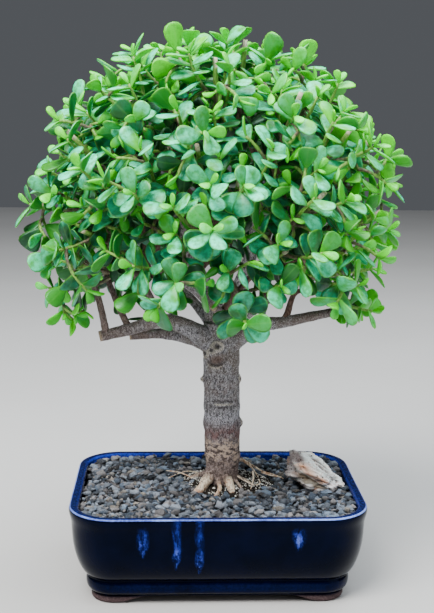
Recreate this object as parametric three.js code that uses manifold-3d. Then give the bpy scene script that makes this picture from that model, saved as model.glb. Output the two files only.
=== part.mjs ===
// A dwarf jade bonsai in a glazed rectangular pot: a straight pruned trunk on exposed roots, a spread of
// woody limbs and twigs, a dome of green leafy sprays, a bed of dark lava gravel and one pale stone.
// Millimetres, +Z up. X runs along the pot's long side and Y from front to back.

import * as THREE from "three";
import { mergeVertices } from "three/addons/utils/BufferGeometryUtils.js";
import Module from "manifold-3d";

const wasm = await Module();
wasm.setup();

// Driving sizes of the pot
const POT_WIDTH = 203;
const POT_DEPTH = 147;
const POT_CORNER = 31;
const RIM_Z = 65;
const CORNER_STEPS = 5;
const FLOOR_TOP = 11.5;
const UNDERSIDE = 6.5;
const FOOT_INSET = 15;
const FOOT_WIDTH = 9;
const ARCH_TOP = 5;
const DRAIN_RADIUS = 6.5;
const DRAIN_X = 45;

// What touches keeps this much air between it
const SEAT = 0.35;

// Driving sizes of the filling
const SOIL_TOP = 55;
const MOUND_TOP = 63.6;
const GRAVEL_EDGE = 60.2;
const GRAVEL_CROWN = 3.6;
const GRAIN_PITCH = 8;
const GRAIN_HEIGHT = 1.9;

// Driving sizes of the crown
const CROWN_CENTRE = new THREE.Vector3(-4, 0, 258);
const CROWN_ACROSS = 116;
const CROWN_DEEP = 105;
const CROWN_UP = 119;
const CROWN_DOWN = 80;
const GROWTH_FROM = new THREE.Vector3(3, 2, 204);
const SPRAYS = 40;
const LOWEST_SINE = -0.46;
const SPRAY_LENGTH = 48;
const SHOOTS = 3;
const SHOOT_SPREAD = 17;
const TWIG_END_RADIUS = 1.6;
const SHOOT_RADIUS = 1.05;
const SHOOT_ROOT_RADIUS = 0.7;
const NODE_HALF = 1.1;
const LEAF_LENGTH = 18.4;
const LEAF_SHAPE = 0.82;
const LEAF_THICKNESS = 2;
const LEAF_MIDDLE = 0.54;
const RIM_SHARES = [0.36, 0.78];
const RIM_LIFT = 0.55;
const GOLDEN_ANGLE = Math.PI * (3 - Math.sqrt(5));
const SEED = 35;

const UP = new THREE.Vector3(0, 0, 1);
const point = (x, y, z) => new THREE.Vector3(x, y, z);

// A number from 0 to 1 that is always the same for the same keys
function chance(...keys) {
  const weights = [12.9898, 78.233, 37.719, 94.673, 4.1414];
  const sum = keys.reduce((total, key, i) => total + key * weights[i], SEED * 0.7549);
  const wave = Math.sin(sum) * 43758.5453;
  return wave - Math.floor(wave);
}

// A number from -1 to 1, by the same rule
const spread = (...keys) => 2 * chance(...keys) - 1;

// A closed three.js geometry as a solid that can be cut and joined, its faces turned outwards
function solidOf(geometry) {
  const loose = geometry.index ? geometry.toNonIndexed() : geometry;
  const bare = new THREE.BufferGeometry().setAttribute("position", loose.getAttribute("position"));
  const merged = mergeVertices(bare, 1e-4);
  const faces = [];
  for (let i = 0; i < merged.index.count; i += 3) {
    const [a, b, c] = merged.index.array.slice(i, i + 3);
    if (a !== b && b !== c && c !== a) faces.push([a, b, c]);
  }
  const make = (list) =>
    new wasm.Manifold(
      new wasm.Mesh({
        numProp: 3,
        vertProperties: new Float32Array(merged.attributes.position.array),
        triVerts: new Uint32Array(list.flat()),
      }),
    );
  const solid = make(faces);
  return solid.volume() < 0 ? make(faces.map(([a, b, c]) => [a, c, b])) : solid;
}

const joined = (solids) => solids.reduce((whole, next) => whole.add(next));

// A solid as a mesh with its name and finish
function piece(name, solid, colour, roughness) {
  const { vertProperties, triVerts, numProp, numVert } = solid.getMesh();
  const place = new Float32Array(numVert * 3);
  for (let i = 0; i < numVert; i++) place.set(vertProperties.slice(i * numProp, i * numProp + 3), i * 3);
  const geometry = new THREE.BufferGeometry()
    .setAttribute("position", new THREE.BufferAttribute(place, 3))
    .setIndex(new THREE.BufferAttribute(triVerts, 1));
  geometry.computeVertexNormals();
  const finish = new THREE.MeshStandardMaterial({ color: colour, roughness, metalness: 0 });
  const mesh = new THREE.Mesh(geometry, finish);
  mesh.name = name;
  return mesh;
}

function moveEach(geometry, rule) {
  const place = geometry.getAttribute("position");
  for (let i = 0; i < place.count; i++) {
    const to = rule(point(place.getX(i), place.getY(i), place.getZ(i)));
    place.setXYZ(i, to.x, to.y, to.z);
  }
  return geometry;
}

// Pot outlines: a rectangle with round corners, set in from the rim's outer edge
const HALF_WIDTH = POT_WIDTH / 2;
const HALF_DEPTH = POT_DEPTH / 2;
const DEEPEST_INSET = 26;

function outlinePoint(step, inset) {
  const corner = Math.floor(step / CORNER_STEPS) % 4;
  const angle = (corner + (step % CORNER_STEPS) / (CORNER_STEPS - 1)) * (Math.PI / 2);
  const sideX = corner === 0 || corner === 3 ? 1 : -1;
  const sideY = corner < 2 ? 1 : -1;
  const radius = POT_CORNER - inset;
  return point(
    sideX * (HALF_WIDTH - POT_CORNER) + radius * Math.cos(angle),
    sideY * (HALF_DEPTH - POT_CORNER) + radius * Math.sin(angle),
    0,
  );
}

// Turns a profile of [distance from the axis along X, height] round the pot's outline
function turnedRound(profile) {
  const steps = 4 * CORNER_STEPS;
  const lathe = new THREE.LatheGeometry(
    profile.map(([out, height]) => new THREE.Vector2(out, height)),
    steps,
  );
  return solidOf(
    moveEach(lathe, (from) => {
      const out = Math.hypot(from.x, from.z);
      const step = Math.round((Math.atan2(from.x, from.z) / (2 * Math.PI)) * steps + steps) % steps;
      const inset = Math.min(HALF_WIDTH - out, DEEPEST_INSET);
      const share = out / (HALF_WIDTH - inset);
      const edge = outlinePoint(step, inset).multiplyScalar(share);
      return edge.setZ(from.y);
    }),
  );
}

// An upright cylinder or cone between two heights
function upright(lowRadius, highRadius, low, high, x, y, sides) {
  const drum = new THREE.CylinderGeometry(highRadius, lowRadius, high - low, sides);
  drum.rotateX(Math.PI / 2);
  drum.translate(x, y, (low + high) / 2);
  return solidOf(drum);
}

// The pot: foot band, bellied body, lip, inner wall and floor in one fired piece, with two drain holes
function makePot() {
  const w = HALF_WIDTH;
  const body = turnedRound([
    [0, UNDERSIDE],
    [w - 16, UNDERSIDE],
    [w - 13.4, 7.2],
    [w - 11.6, 10],
    [w - 11.4, 15],
    [w - 12.8, 16.6],
    [w - 10.4, 18.4],
    [w - 6.4, 25],
    [w - 3.4, 34],
    [w - 1.8, 46],
    [w - 1.8, 56.2],
    [w, 58],
    [w, 63.6],
    [w - 1.4, RIM_Z],
    [w - 5.4, RIM_Z - 0.4],
    [w - 6.6, RIM_Z - 2],
    [w - 7, 45],
    [w - 9.6, 30],
    [w - 15.5, 17],
    [w - 23, FLOOR_TOP],
    [0, FLOOR_TOP],
  ]);
  const footOut = w - FOOT_INSET;
  const ring = turnedRound([
    [footOut - FOOT_WIDTH, 0],
    [footOut - 1.6, 0],
    [footOut, 1.6],
    [footOut, UNDERSIDE + 1],
    [footOut - FOOT_WIDTH, UNDERSIDE + 1],
    [footOut - FOOT_WIDTH, 0],
  ]);
  const feet = ring.subtract(archThrough(70, 48, false)).subtract(archThrough(42, 24, true));
  const drains = [-DRAIN_X, DRAIN_X].map((x) => upright(DRAIN_RADIUS, DRAIN_RADIUS, 0, 20, x, 0, 12));
  return drains.reduce((pot, drain) => pot.subtract(drain), body.add(feet));
}

// The low arch between two feet, as a bar that cuts through the whole foot ring
function archThrough(atFloor, atTop, alongX) {
  const arch = new THREE.Shape([
    new THREE.Vector2(-atFloor, -1),
    new THREE.Vector2(atFloor, -1),
    new THREE.Vector2((atFloor + atTop) / 2, ARCH_TOP * 0.62),
    new THREE.Vector2(atTop, ARCH_TOP),
    new THREE.Vector2(-atTop, ARCH_TOP),
    new THREE.Vector2(-(atFloor + atTop) / 2, ARCH_TOP * 0.62),
  ]);
  const length = POT_WIDTH + 20;
  const bar = new THREE.ExtrudeGeometry(arch, { depth: length, bevelEnabled: false });
  bar.translate(0, 0, -length / 2);
  bar.rotateX(Math.PI / 2);
  if (alongX) bar.rotateZ(Math.PI / 2);
  return solidOf(bar);
}

// The plastic screen that keeps the soil off a drain hole
const SCREEN_SIZE = point(34, 26, 1.2);
const SCREEN_HOLE = 6.8;

function boxAt(x, y, z, width, depth, height) {
  const box = new THREE.BoxGeometry(width, depth, height);
  box.translate(x, y, z);
  return solidOf(box);
}

function makeScreen(x) {
  const z = FLOOR_TOP + SEAT + SCREEN_SIZE.z / 2;
  const plate = boxAt(x, 0, z, SCREEN_SIZE.x, SCREEN_SIZE.y, SCREEN_SIZE.z);
  const holes = [];
  for (const column of [-1, 0, 1]) {
    for (const row of [-0.5, 0.5]) {
      holes.push(boxAt(x + column * 10, row * 11, z, SCREEN_HOLE, SCREEN_HOLE, 5));
    }
  }
  return holes.reduce((screen, hole) => screen.subtract(hole), plate);
}

// A round tube that bends along a curve and tapers: a drum whose rings are moved onto the curve
function limbSolid(curve, radiusAt, sides, steps) {
  const rings = [];
  let normal = null;
  for (let i = 0; i <= steps; i++) {
    const tangent = curve.getTangent(i / steps);
    if (!normal) normal = Math.abs(tangent.z) > 0.8 ? point(1, 0, 0) : UP.clone();
    normal = normal.clone().addScaledVector(tangent, -normal.dot(tangent)).normalize();
    rings.push({ at: curve.getPoint(i / steps), normal, side: tangent.clone().cross(normal) });
  }
  const drum = new THREE.CylinderGeometry(1, 1, steps, sides, steps, false, Math.PI / 4);
  return solidOf(
    moveEach(drum, (from) => {
      const step = Math.round(from.y + steps / 2);
      const ring = rings[step];
      const radius = radiusAt(step / steps);
      return ring.at
        .clone()
        .addScaledVector(ring.normal, from.x * radius)
        .addScaledVector(ring.side, from.z * radius);
    }),
  );
}

const blend = (from, to, share) => from + (to - from) * share;
function pathThrough(route) {
  const spots = route.map((spot) => point(...spot));
  return new THREE.CatmullRomCurve3(spots, false, "catmullrom", 0.5);
}

// Main wood, as [route, radius at the start, radius at the end]
const TRUNK_ROUTE = [[5, 2, 40], [4.5, 2, 72], [4, 2, 108], [3, 2, 146], [2.5, 2, 182]];
const TRUNK_RADIUS = 13;
const TRUNK_SIDES = 12;
const TRUNK_STEPS = 13;
const LIMBS = [
  // the long left limb, cut short at its end
  [[[1, 0, 164], [-21, -6, 179], [-40, -9, 184.5], [-60, -10, 179], [-82, -12, 174]], 7.4, 3.6],
  // the lower left limb behind it
  [[[0, 4, 162], [-18, 9, 168], [-40, 13, 171], [-62, 15, 169]], 6, 3.2],
  // the right limb
  [[[6, 0, 165], [27, -5, 180], [44, -6, 183], [64, -5, 187], [82, -2, 190]], 6.6, 2.8],
  // limbs to the back
  [[[6, 6, 168], [23, 22, 186], [43, 40, 197], [62, 56, 206]], 5.6, 2.4],
  [[[2, 8, 170], [-4, 28, 189], [-12, 52, 201], [-18, 74, 208]], 5.6, 2.4],
  [[[0, 5, 174], [-20, 22, 196], [-46, 40, 212]], 5, 2.4],
  // the two leaders in the middle
  [[[1, 2, 174], [-5, 2, 198], [-17, -2, 224], [-27, -4, 252], [-31, 0, 284]], 8.4, 2.8],
  [[[5, 3, 174], [13, 5, 200], [23, 6, 230], [27, 8, 262], [25, 8, 296]], 7.6, 2.8],
  // limbs to the front
  [[[3, -3, 170], [4, -22, 186], [0, -44, 196], [-6, -64, 204]], 5.2, 2.4],
  [[[6, -3, 176], [25, -20, 196], [46, -38, 214]], 4.8, 2.4],
  [[[-4, 1, 194], [-20, -18, 210], [-42, -36, 226]], 4.2, 2.2],
  // upright side branches on the long left limb
  [[[-77, -12, 175], [-80, -13, 191], [-84, -13, 206], [-92, -12, 224]], 2.8, 1.9],
  [[[-61, -10, 178], [-70, -5, 196], [-78, 2, 215]], 2.6, 1.9],
  [[[-40, -9, 184], [-47, -11, 201], [-56, -13, 215], [-74, -17, 232]], 3.2, 1.9],
];
const ROOTS = [
  [[[-3, -3, 74], [-9, -10, 66], [-15, -14, 61], [-22, -17, 55]], 5, 2.2],
  [[[1, -7, 71], [2, -15, 65], [-2, -20, 60], [-2, -25, 54]], 2.6, 1.4],
  [[[7, -7, 72], [10, -13, 65], [10, -16, 57]], 4.2, 2.4],
  [[[11, 2, 70], [20, 2, 66], [28, -1, 61], [35, -4, 54]], 3.4, 1.6],
  [[[12, -3, 69], [18, -10, 63], [19, -18, 56]], 2.4, 1.4],
  [[[3, 9, 72], [-1, 20, 64], [-5, 29, 55]], 4.4, 2],
  [[[-7, 6, 70], [-18, 11, 64], [-27, 15, 56]], 3.4, 1.5],
];
// Healed cuts and leaf scars on the trunk, as [angle round it, height, size]
const TRUNK_KNOTS = [
  [-1.75, 165, 4.2],
  [-2.45, 167, 4.4],
  [-3.05, 139, 3.4],
  [-0.15, 139, 3.4],
  [-0.05, 109, 3.6],
  [2.6, 118, 3.6],
  [1.2, 150, 3.8],
];

// The trunk narrows at its foot and swells in rings where leaves once stood
function trunkRadius(share) {
  const height = blend(40, 182, share);
  const foot = THREE.MathUtils.smoothstep(height, 55, 105);
  const ring = Math.max(0, Math.cos((height - 109) * 0.21)) ** 6;
  return TRUNK_RADIUS * blend(0.82, 0.99, foot) + 0.9 * ring;
}

const trunkSolid = () => limbSolid(pathThrough(TRUNK_ROUTE), trunkRadius, TRUNK_SIDES, TRUNK_STEPS);

const rootSolid = ([route, thick, thin], extra) =>
  limbSolid(pathThrough(route), (share) => blend(thick, thin, share) + extra, 5, 4);

// Everything of the tree that stands in the soil, swollen by a clearance
const footOfTree = (extra) =>
  joined([
    limbSolid(pathThrough(TRUNK_ROUTE), (share) => trunkRadius(share) + extra, TRUNK_SIDES, TRUNK_STEPS),
    upright(10, 10, 40 - extra, 44, 5, 2, 12),
    ...ROOTS.map((root) => rootSolid(root, extra)),
  ]);

// Where each spray stands: evenly round the dome, by the golden angle
function sprayPlan(index) {
  const sine = LOWEST_SINE + ((1 - LOWEST_SINE) * (index + 0.5)) / SPRAYS;
  const turn = index * GOLDEN_ANGLE + 0.16 * spread(index, 1);
  const flat = Math.sqrt(1 - sine * sine);
  const out = point(flat * Math.cos(turn), flat * Math.sin(turn), sine);
  const tip = CROWN_CENTRE.clone().addScaledVector(out, crownReach(out) + 4 * spread(index, 2));
  const axis = tip.clone().sub(GROWTH_FROM).normalize();
  const length = SPRAY_LENGTH + 4 * spread(index, 3);
  const foot = tip.clone().addScaledVector(axis, -length);
  return { index, tip, axis, foot, length };
}

// How far the dome reaches from its centre: an ellipsoid above, squarer and shallower below
function crownReach(out) {
  const power = out.z > 0 ? 2 : 3;
  const level = Math.hypot(out.x / CROWN_ACROSS, out.y / CROWN_DEEP);
  const upright = Math.abs(out.z) / (out.z > 0 ? CROWN_UP : CROWN_DOWN);
  return (level ** power + upright ** power) ** (-1 / power);
}

// Places on the wood where a twig may start, and the wood itself as short straight rods
const LIMB_SAMPLES = 8;
const TWIG_STEPS = 2;
const buds = [];
const rods = [];

function noteWood(curve, thick, thin, samples, firstBud, lastBud, owner) {
  for (let i = 0; i <= samples; i++) {
    const at = curve.getPoint(i / samples);
    const radius = blend(thick, thin, i / samples);
    if (i >= firstBud && i <= lastBud) buds.push({ at, tangent: curve.getTangent(i / samples), radius });
    if (i) rods.push({ from: curve.getPoint((i - 1) / samples), to: at, radius, owner });
  }
}

// The bud that gives a twig the shortest and smoothest way to a spray
function bestBud(plan) {
  let best = null;
  let least = Infinity;
  for (const bud of buds) {
    const way = plan.foot.clone().sub(bud.at);
    const length = way.length();
    if (length < 4) continue;
    way.divideScalar(length);
    const cost = length + 26 * (1 - way.dot(plan.axis)) + 10 * (1 - way.dot(bud.tangent));
    if (cost < least) {
      least = cost;
      best = bud;
    }
  }
  return best;
}

function twigCurve(bud, plan) {
  const way = plan.foot.clone().sub(bud.at);
  const pull = way.length() * 0.36;
  const start = way.normalize().add(bud.tangent.clone().multiplyScalar(0.7)).normalize();
  return new THREE.CubicBezierCurve3(
    bud.at,
    bud.at.clone().addScaledVector(start, pull),
    plan.foot.clone().addScaledVector(plan.axis, -pull),
    plan.foot,
  );
}

const WOOD = -1;
const plans = Array.from({ length: SPRAYS }, (_, index) => sprayPlan(index));
const twigs = [];
noteWood(pathThrough(TRUNK_ROUTE), TRUNK_RADIUS, TRUNK_RADIUS, LIMB_SAMPLES, 1, 0, WOOD);
LIMBS.forEach(([route, thick, thin]) =>
  noteWood(pathThrough(route), thick, thin, LIMB_SAMPLES, 3, LIMB_SAMPLES, WOOD),
);
const fork = point(...TRUNK_ROUTE.at(-1));
const fromTrunk = (plan) => plan.foot.distanceTo(fork);
for (const plan of [...plans].sort((a, b) => fromTrunk(a) - fromTrunk(b))) {
  const bud = bestBud(plan);
  const curve = twigCurve(bud, plan);
  const thick = Math.min(2.6, 0.85 * bud.radius);
  twigs.push({ curve, thick });
  noteWood(curve, thick, TWIG_END_RADIUS, TWIG_STEPS, 1, TWIG_STEPS - 1, 1000 + plan.index);
}

// How near two straight rods pass
function rodGap(one, other) {
  const d1 = one.to.clone().sub(one.from);
  const d2 = other.to.clone().sub(other.from);
  const r = one.from.clone().sub(other.from);
  const [a, e, f, b, c] = [d1.dot(d1), d2.dot(d2), d2.dot(r), d1.dot(d2), d1.dot(r)];
  const keep = (x) => Math.min(1, Math.max(0, x));
  const denominator = a * e - b * b;
  let s = denominator > 1e-9 ? keep((b * f - c * e) / denominator) : 0;
  const t = keep((b * s + f) / e);
  s = keep((b * t - c) / a);
  const gap = r.addScaledVector(d1, s).addScaledVector(d2, -t);
  return gap.length() - one.radius - other.radius;
}

// Two directions square to an axis and to each other
function squareTo(axis) {
  const aside = Math.abs(axis.z) > 0.8 ? point(1, 0, 0) : UP.clone();
  const one = aside.cross(axis).normalize();
  return [one, axis.clone().cross(one)];
}

// One spray: a stem that was cut at its end, and shoots that fan out from it to the dome
const SHOOT_SAMPLES = 4;

function spraySkeleton(plan, phase) {
  const { index, axis, foot, tip, length } = plan;
  const [one, two] = squareTo(axis);
  const cut = length * (0.5 + 0.22 * chance(index, 4));
  const start = foot.clone().addScaledVector(axis, SEAT);
  const stem = new THREE.LineCurve3(start, foot.clone().addScaledVector(axis, cut));
  const shoots = [];
  for (let k = 0; k < SHOOTS; k++) {
    const turn = phase + (2 * Math.PI * k) / SHOOTS + 0.3 * spread(index, k, 5);
    const aside = one.clone().multiplyScalar(Math.cos(turn)).addScaledVector(two, Math.sin(turn));
    const out = SHOOT_SPREAD * (1 + 0.22 * spread(index, k, 6));
    const end = tip.clone().addScaledVector(aside, out).addScaledVector(axis, 6 * spread(index, k, 7) - 2);
    const from = foot.clone().addScaledVector(axis, length * (0.14 + 0.13 * k));
    const pull = end.distanceTo(from) * 0.48;
    const lean = aside.clone().multiplyScalar(0.62).addScaledVector(axis, 0.5).normalize();
    const bend = from.clone().addScaledVector(lean, pull);
    shoots.push(new THREE.QuadraticBezierCurve3(from, bend, end));
  }
  return { index, stem, shoots };
}

function rodsAlong(curve, radius, samples, owner) {
  return Array.from({ length: samples }, (_, i) => ({
    from: curve.getPoint(i / samples),
    to: curve.getPoint((i + 1) / samples),
    radius,
    owner,
  }));
}

function skeletonRods(skeleton) {
  const all = rodsAlong(skeleton.stem, TWIG_END_RADIUS, 2, skeleton.index);
  for (const shoot of skeleton.shoots) {
    all.push(...rodsAlong(shoot, SHOOT_RADIUS, SHOOT_SAMPLES, skeleton.index));
  }
  return all;
}

// Turns a spray about its stem until its shoots clear everything that is already there
const PHASE_TRIES = 12;
const skeletons = plans.map((plan) => {
  let best = null;
  for (let attempt = 0; attempt < PHASE_TRIES; attempt++) {
    const skeleton = spraySkeleton(plan, 2.1 * chance(plan.index, 8) + attempt * 0.35);
    const own = skeletonRods(skeleton);
    const others = rods.filter((rod) => rod.owner !== 1000 + plan.index);
    const gap = Math.min(...own.map((rod) => Math.min(...others.map((other) => rodGap(rod, other)))));
    if (!best || gap > best.gap) best = { gap, skeleton, own };
    if (gap > 2) break;
  }
  rods.push(...best.own);
  return best.skeleton;
});

// Half the width of a leaf at a share of its length, for one 1 long and 1 wide
const FULLEST = 0.45;
function leafHalfWidth(share) {
  const cosine = 2 * Math.min(1, Math.max(0, share)) ** 1.35 - 1;
  return 0.5 * Math.sqrt(1 - cosine * cosine) * (1 + FULLEST * cosine) * 0.96;
}

// How far the middle of a leaf bends back from its own plane
const leafSag = (leaf, share) => -leaf.bend * leaf.length * share * share;

// Which way a shoot's leaf pairs face, as a direction square to its start
function shootFacing(shoot, key) {
  const [one, two] = squareTo(shoot.getTangent(0));
  const turn = 2.4 * chance(key, 20);
  return one.multiplyScalar(Math.cos(turn)).addScaledVector(two, Math.sin(turn));
}

// A leaf: where it joins the stem, which way it points and which way its upper face looks
function leafAt(shoot, place, attempt) {
  const { spray, number, node, side, share, size } = place;
  const key = spray * 7 + number;
  const tangent = shoot.getTangent(share);
  const one = shootFacing(shoot, key);
  one.addScaledVector(tangent, -one.dot(tangent)).normalize();
  const two = tangent.clone().cross(one);
  const turn = Math.PI * (side + node / 2) + 0.35 * spread(key, node, side, 21 + attempt);
  const aside = one.multiplyScalar(Math.cos(turn)).addScaledVector(two, Math.sin(turn));
  const open = (node ? 1.22 : 0.96) + 0.22 * spread(key, node, side, 31 + attempt);
  const along = tangent.clone().multiplyScalar(Math.cos(open)).addScaledVector(aside, Math.sin(open));
  const face = tangent.clone().multiplyScalar(Math.sin(open)).addScaledVector(aside, -Math.cos(open));
  const roll = 0.45 * spread(key, node, side, 41 + attempt);
  face.addScaledVector(along.clone().cross(face), Math.tan(roll)).addScaledVector(UP, 0.3);
  face.addScaledVector(along, -face.dot(along)).normalize();
  const length = LEAF_LENGTH * size * (1 + 0.14 * spread(key, node, side, 51)) * (1 - 0.05 * attempt);
  return {
    spray,
    number,
    node,
    flat: 2 * side + node,
    foot: shoot.getPoint(share),
    along,
    face,
    across: face.clone().cross(along),
    length,
    width: length * LEAF_SHAPE * (1 + 0.1 * spread(key, node, side, 61)),
    bend: 0.1 + 0.1 * spread(key, node, side, 71),
  };
}

// Points over a leaf's blade, by which it is tested against what is near
const TEST_SHARES = [0.3, 0.5, 0.7, 0.88, 1];
const TEST_SIDES = [-0.95, -0.5, 0, 0.5, 0.95];

function bladePoints(leaf) {
  return TEST_SHARES.flatMap((share) =>
    TEST_SIDES.map((side) =>
      leaf.foot
        .clone()
        .addScaledVector(leaf.along, leaf.length * share)
        .addScaledVector(leaf.across, leaf.width * leafHalfWidth(share) * side)
        .addScaledVector(leaf.face, leafSag(leaf, share)),
    ),
  );
}

const AIR = 0.7;

function insideLeaf(leaf, spot) {
  const from = spot.clone().sub(leaf.foot);
  const share = from.dot(leaf.along) / leaf.length;
  if (share < 0.04 || share > 1 + AIR / leaf.length) return false;
  const limit = leaf.width * leafHalfWidth(share) + AIR;
  if (Math.abs(from.dot(leaf.across)) > limit) return false;
  return Math.abs(from.dot(leaf.face) - leafSag(leaf, share)) < LEAF_THICKNESS + AIR;
}

function spotToRod(spot, rod) {
  const run = rod.to.clone().sub(rod.from);
  const share = Math.min(1, Math.max(0, spot.clone().sub(rod.from).dot(run) / run.lengthSq()));
  return spot.distanceTo(rod.from.clone().addScaledVector(run, share));
}

const leaves = [];

function leafIsClear(leaf) {
  const points = bladePoints(leaf);
  const middle = leaf.foot.clone().addScaledVector(leaf.along, leaf.length / 2);
  const reach = leaf.length / 2 + 4;
  for (const rod of rods) {
    const room = rod.radius + LEAF_THICKNESS / 2 + AIR;
    if (spotToRod(middle, rod) > reach + room) continue;
    if (points.some((spot) => spotToRod(spot, rod) < room)) return false;
  }
  for (const other of leaves) {
    if (middle.distanceTo(other.middle) > reach + other.length / 2 + 4) continue;
    if (points.some((spot) => insideLeaf(other, spot))) return false;
    if (other.points.some((spot) => insideLeaf(leaf, spot))) return false;
  }
  Object.assign(leaf, { points, middle });
  return true;
}

// Leaf pairs, outermost first: [share of the shoot's length, size], with every second shoot skipped
// where only half of the pairs are wanted
const LEAF_TRIES = 6;
const PAIRS = [
  { share: 0.94, size: 0.92, every: 1 },
  { share: 0.62, size: 1, every: 2 },
];

const nodeGrows = (index, number, node) => (index + number) % PAIRS[node].every === 0;

PAIRS.forEach(({ share, size }, node) => {
  for (const { index, shoots } of skeletons) {
    shoots.forEach((shoot, number) => {
      if (!nodeGrows(index, number, node)) return;
      for (const side of [0, 1]) {
        const place = { spray: index, number, node, side, share, size };
        for (let attempt = 0; attempt < LEAF_TRIES; attempt++) {
          const leaf = leafAt(shoot, place, attempt);
          if (!leafIsClear(leaf)) continue;
          leaves.push(leaf);
          break;
        }
      }
    });
  }
});

// A list of corners and faces that grows into one closed skin
function newSkin() {
  const corners = [];
  const faces = [];
  return {
    corner: (spot) => corners.push(spot.x, spot.y, spot.z) / 3 - 1,
    face: (...list) => faces.push(...list),
    solid: () => {
      const geometry = new THREE.BufferGeometry();
      geometry.setAttribute("position", new THREE.Float32BufferAttribute(corners, 3)).setIndex(faces);
      return solidOf(geometry);
    },
  };
}

// A ring of four corners round a shoot, square to it and turned so that its flats face the leaves
function shootRing(skin, shoot, facing, share, radius) {
  const tangent = shoot.getTangent(share);
  const one = facing.clone().addScaledVector(tangent, -facing.dot(tangent)).normalize();
  const two = tangent.cross(one);
  return [-1, 1, 3, 5].map((eighths) => {
    const angle = (eighths * Math.PI) / 4;
    const aside = one.clone().multiplyScalar(Math.cos(angle)).addScaledVector(two, Math.sin(angle));
    return skin.corner(shoot.getPoint(share).addScaledVector(aside, radius));
  });
}

// A leaf drawn out of one side face of a node: a plump blade with a keeled back, widest near its tip
function drawLeaf(skin, leaf, [lowLeft, lowRight, highRight, highLeft]) {
  const onBlade = (share, side, lift) =>
    skin.corner(
      leaf.foot
        .clone()
        .addScaledVector(leaf.along, share * leaf.length)
        .addScaledVector(leaf.across, side * leafHalfWidth(share) * leaf.width)
        .addScaledVector(leaf.face, leafSag(leaf, share) + lift),
    );
  const top = onBlade(LEAF_MIDDLE, 0, LEAF_THICKNESS / 2);
  const back = onBlade(LEAF_MIDDLE, 0, -LEAF_THICKNESS / 2);
  const left = RIM_SHARES.map((share) => onBlade(share, -1, RIM_LIFT));
  const right = RIM_SHARES.map((share) => onBlade(share, 1, RIM_LIFT));
  const rim = [...left, onBlade(1, 0, 0), ...right.toReversed()];
  const upper = [highLeft, ...rim, highRight];
  const lower = [lowLeft, ...rim, lowRight];
  upper.forEach((corner, i) => skin.face(top, corner, upper[(i + 1) % upper.length]));
  lower.forEach((corner, i) => skin.face(back, lower[(i + 1) % lower.length], corner));
  skin.face(highLeft, lowLeft, left[0]);
  skin.face(lowRight, highRight, right[0]);
}

// A shoot with its leaves in one skin: its root is sunk in the stem it grows from
function shootSolid(shoot, index, number) {
  const skin = newSkin();
  const facing = shootFacing(shoot, index * 7 + number);
  const half = NODE_HALF / shoot.getLength();
  const nodes = PAIRS.map(({ share }, node) => ({ share, node }))
    .filter(({ node }) => nodeGrows(index, number, node))
    .toReversed();
  let below = shootRing(skin, shoot, facing, 0, SHOOT_ROOT_RADIUS);
  skin.face(below[0], below[2], below[1], below[0], below[3], below[2]);
  for (const { share, node } of nodes) {
    for (const end of [-half, half]) {
      const above = shootRing(skin, shoot, facing, share + end, SHOOT_RADIUS * Math.SQRT2);
      for (let flat = 0; flat < 4; flat++) {
        const next = (flat + 1) % 4;
        const face = [below[flat], below[next], above[next], above[flat]];
        const leaf = leaves.find(
          (one) => one.spray === index && one.number === number && one.node === node && one.flat === flat,
        );
        if (leaf && end > 0) drawLeaf(skin, leaf, face);
        else skin.face(face[0], face[1], face[2], face[0], face[2], face[3]);
      }
      below = above;
    }
  }
  skin.face(below[0], below[1], below[2], below[0], below[2], below[3]);
  return skin.solid();
}

const sprayName = (index) => "leafy_spray_" + String(index + 1).padStart(2, "0");

function makeSpray({ index, stem, shoots }) {
  const stemSolid = limbSolid(stem, () => TWIG_END_RADIUS * 1.15, 3, 1);
  return joined([stemSolid, ...shoots.map((shoot, number) => shootSolid(shoot, index, number))]);
}

const limbSides = (thick) => (thick > 4 ? 6 : 4);

function makeTree() {
  const knots = TRUNK_KNOTS.map(([angle, height, size]) => {
    const knot = new THREE.OctahedronGeometry(size, 0);
    knot.rotateZ(angle);
    const out = TRUNK_RADIUS - 1.4;
    knot.translate(4 + out * Math.cos(angle), 2 + out * Math.sin(angle), height);
    return solidOf(knot);
  });
  const limbs = LIMBS.map(([route, thick, thin]) => {
    const radiusAt = (share) => blend(thick, thin, share ** 0.6);
    return limbSolid(pathThrough(route), radiusAt, limbSides(thick), route.length);
  });
  const twigSolids = twigs.map(({ curve, thick }) => {
    const radiusAt = (share) => (share ? 1.2 * blend(thick, TWIG_END_RADIUS, share) : 0.7 * thick);
    return limbSolid(curve, radiusAt, 3, TWIG_STEPS);
  });
  const roots = ROOTS.map((root) => rootSolid(root, 0));
  return joined([trunkSolid(), ...knots, ...limbs, ...twigSolids, ...roots]);
}

// The stone that lies on the gravel: a rough block drawn out to the front right
const STONE_AT = point(71, 2, 69.5);

function stoneSolid(extra) {
  const block = new THREE.IcosahedronGeometry(1, 2);
  moveEach(block, (from) => {
    const lump =
      1 + 0.13 * Math.sin(4.1 * from.x + 1.7) + 0.1 * Math.sin(5.3 * from.y + 2.6 * from.z) +
      0.07 * Math.cos(7.9 * from.z - 3.1 * from.x);
    const rise = (1 - 0.36 * from.x) * (from.z > 0 ? 11.5 : 8);
    return point(
      from.x * (22 * lump + extra),
      from.y * (13 * lump + extra),
      from.z * (rise * lump + extra),
    );
  });
  block.rotateY(0.2);
  block.rotateZ(-0.42);
  block.translate(STONE_AT.x, STONE_AT.y, STONE_AT.z);
  return solidOf(block);
}

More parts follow.
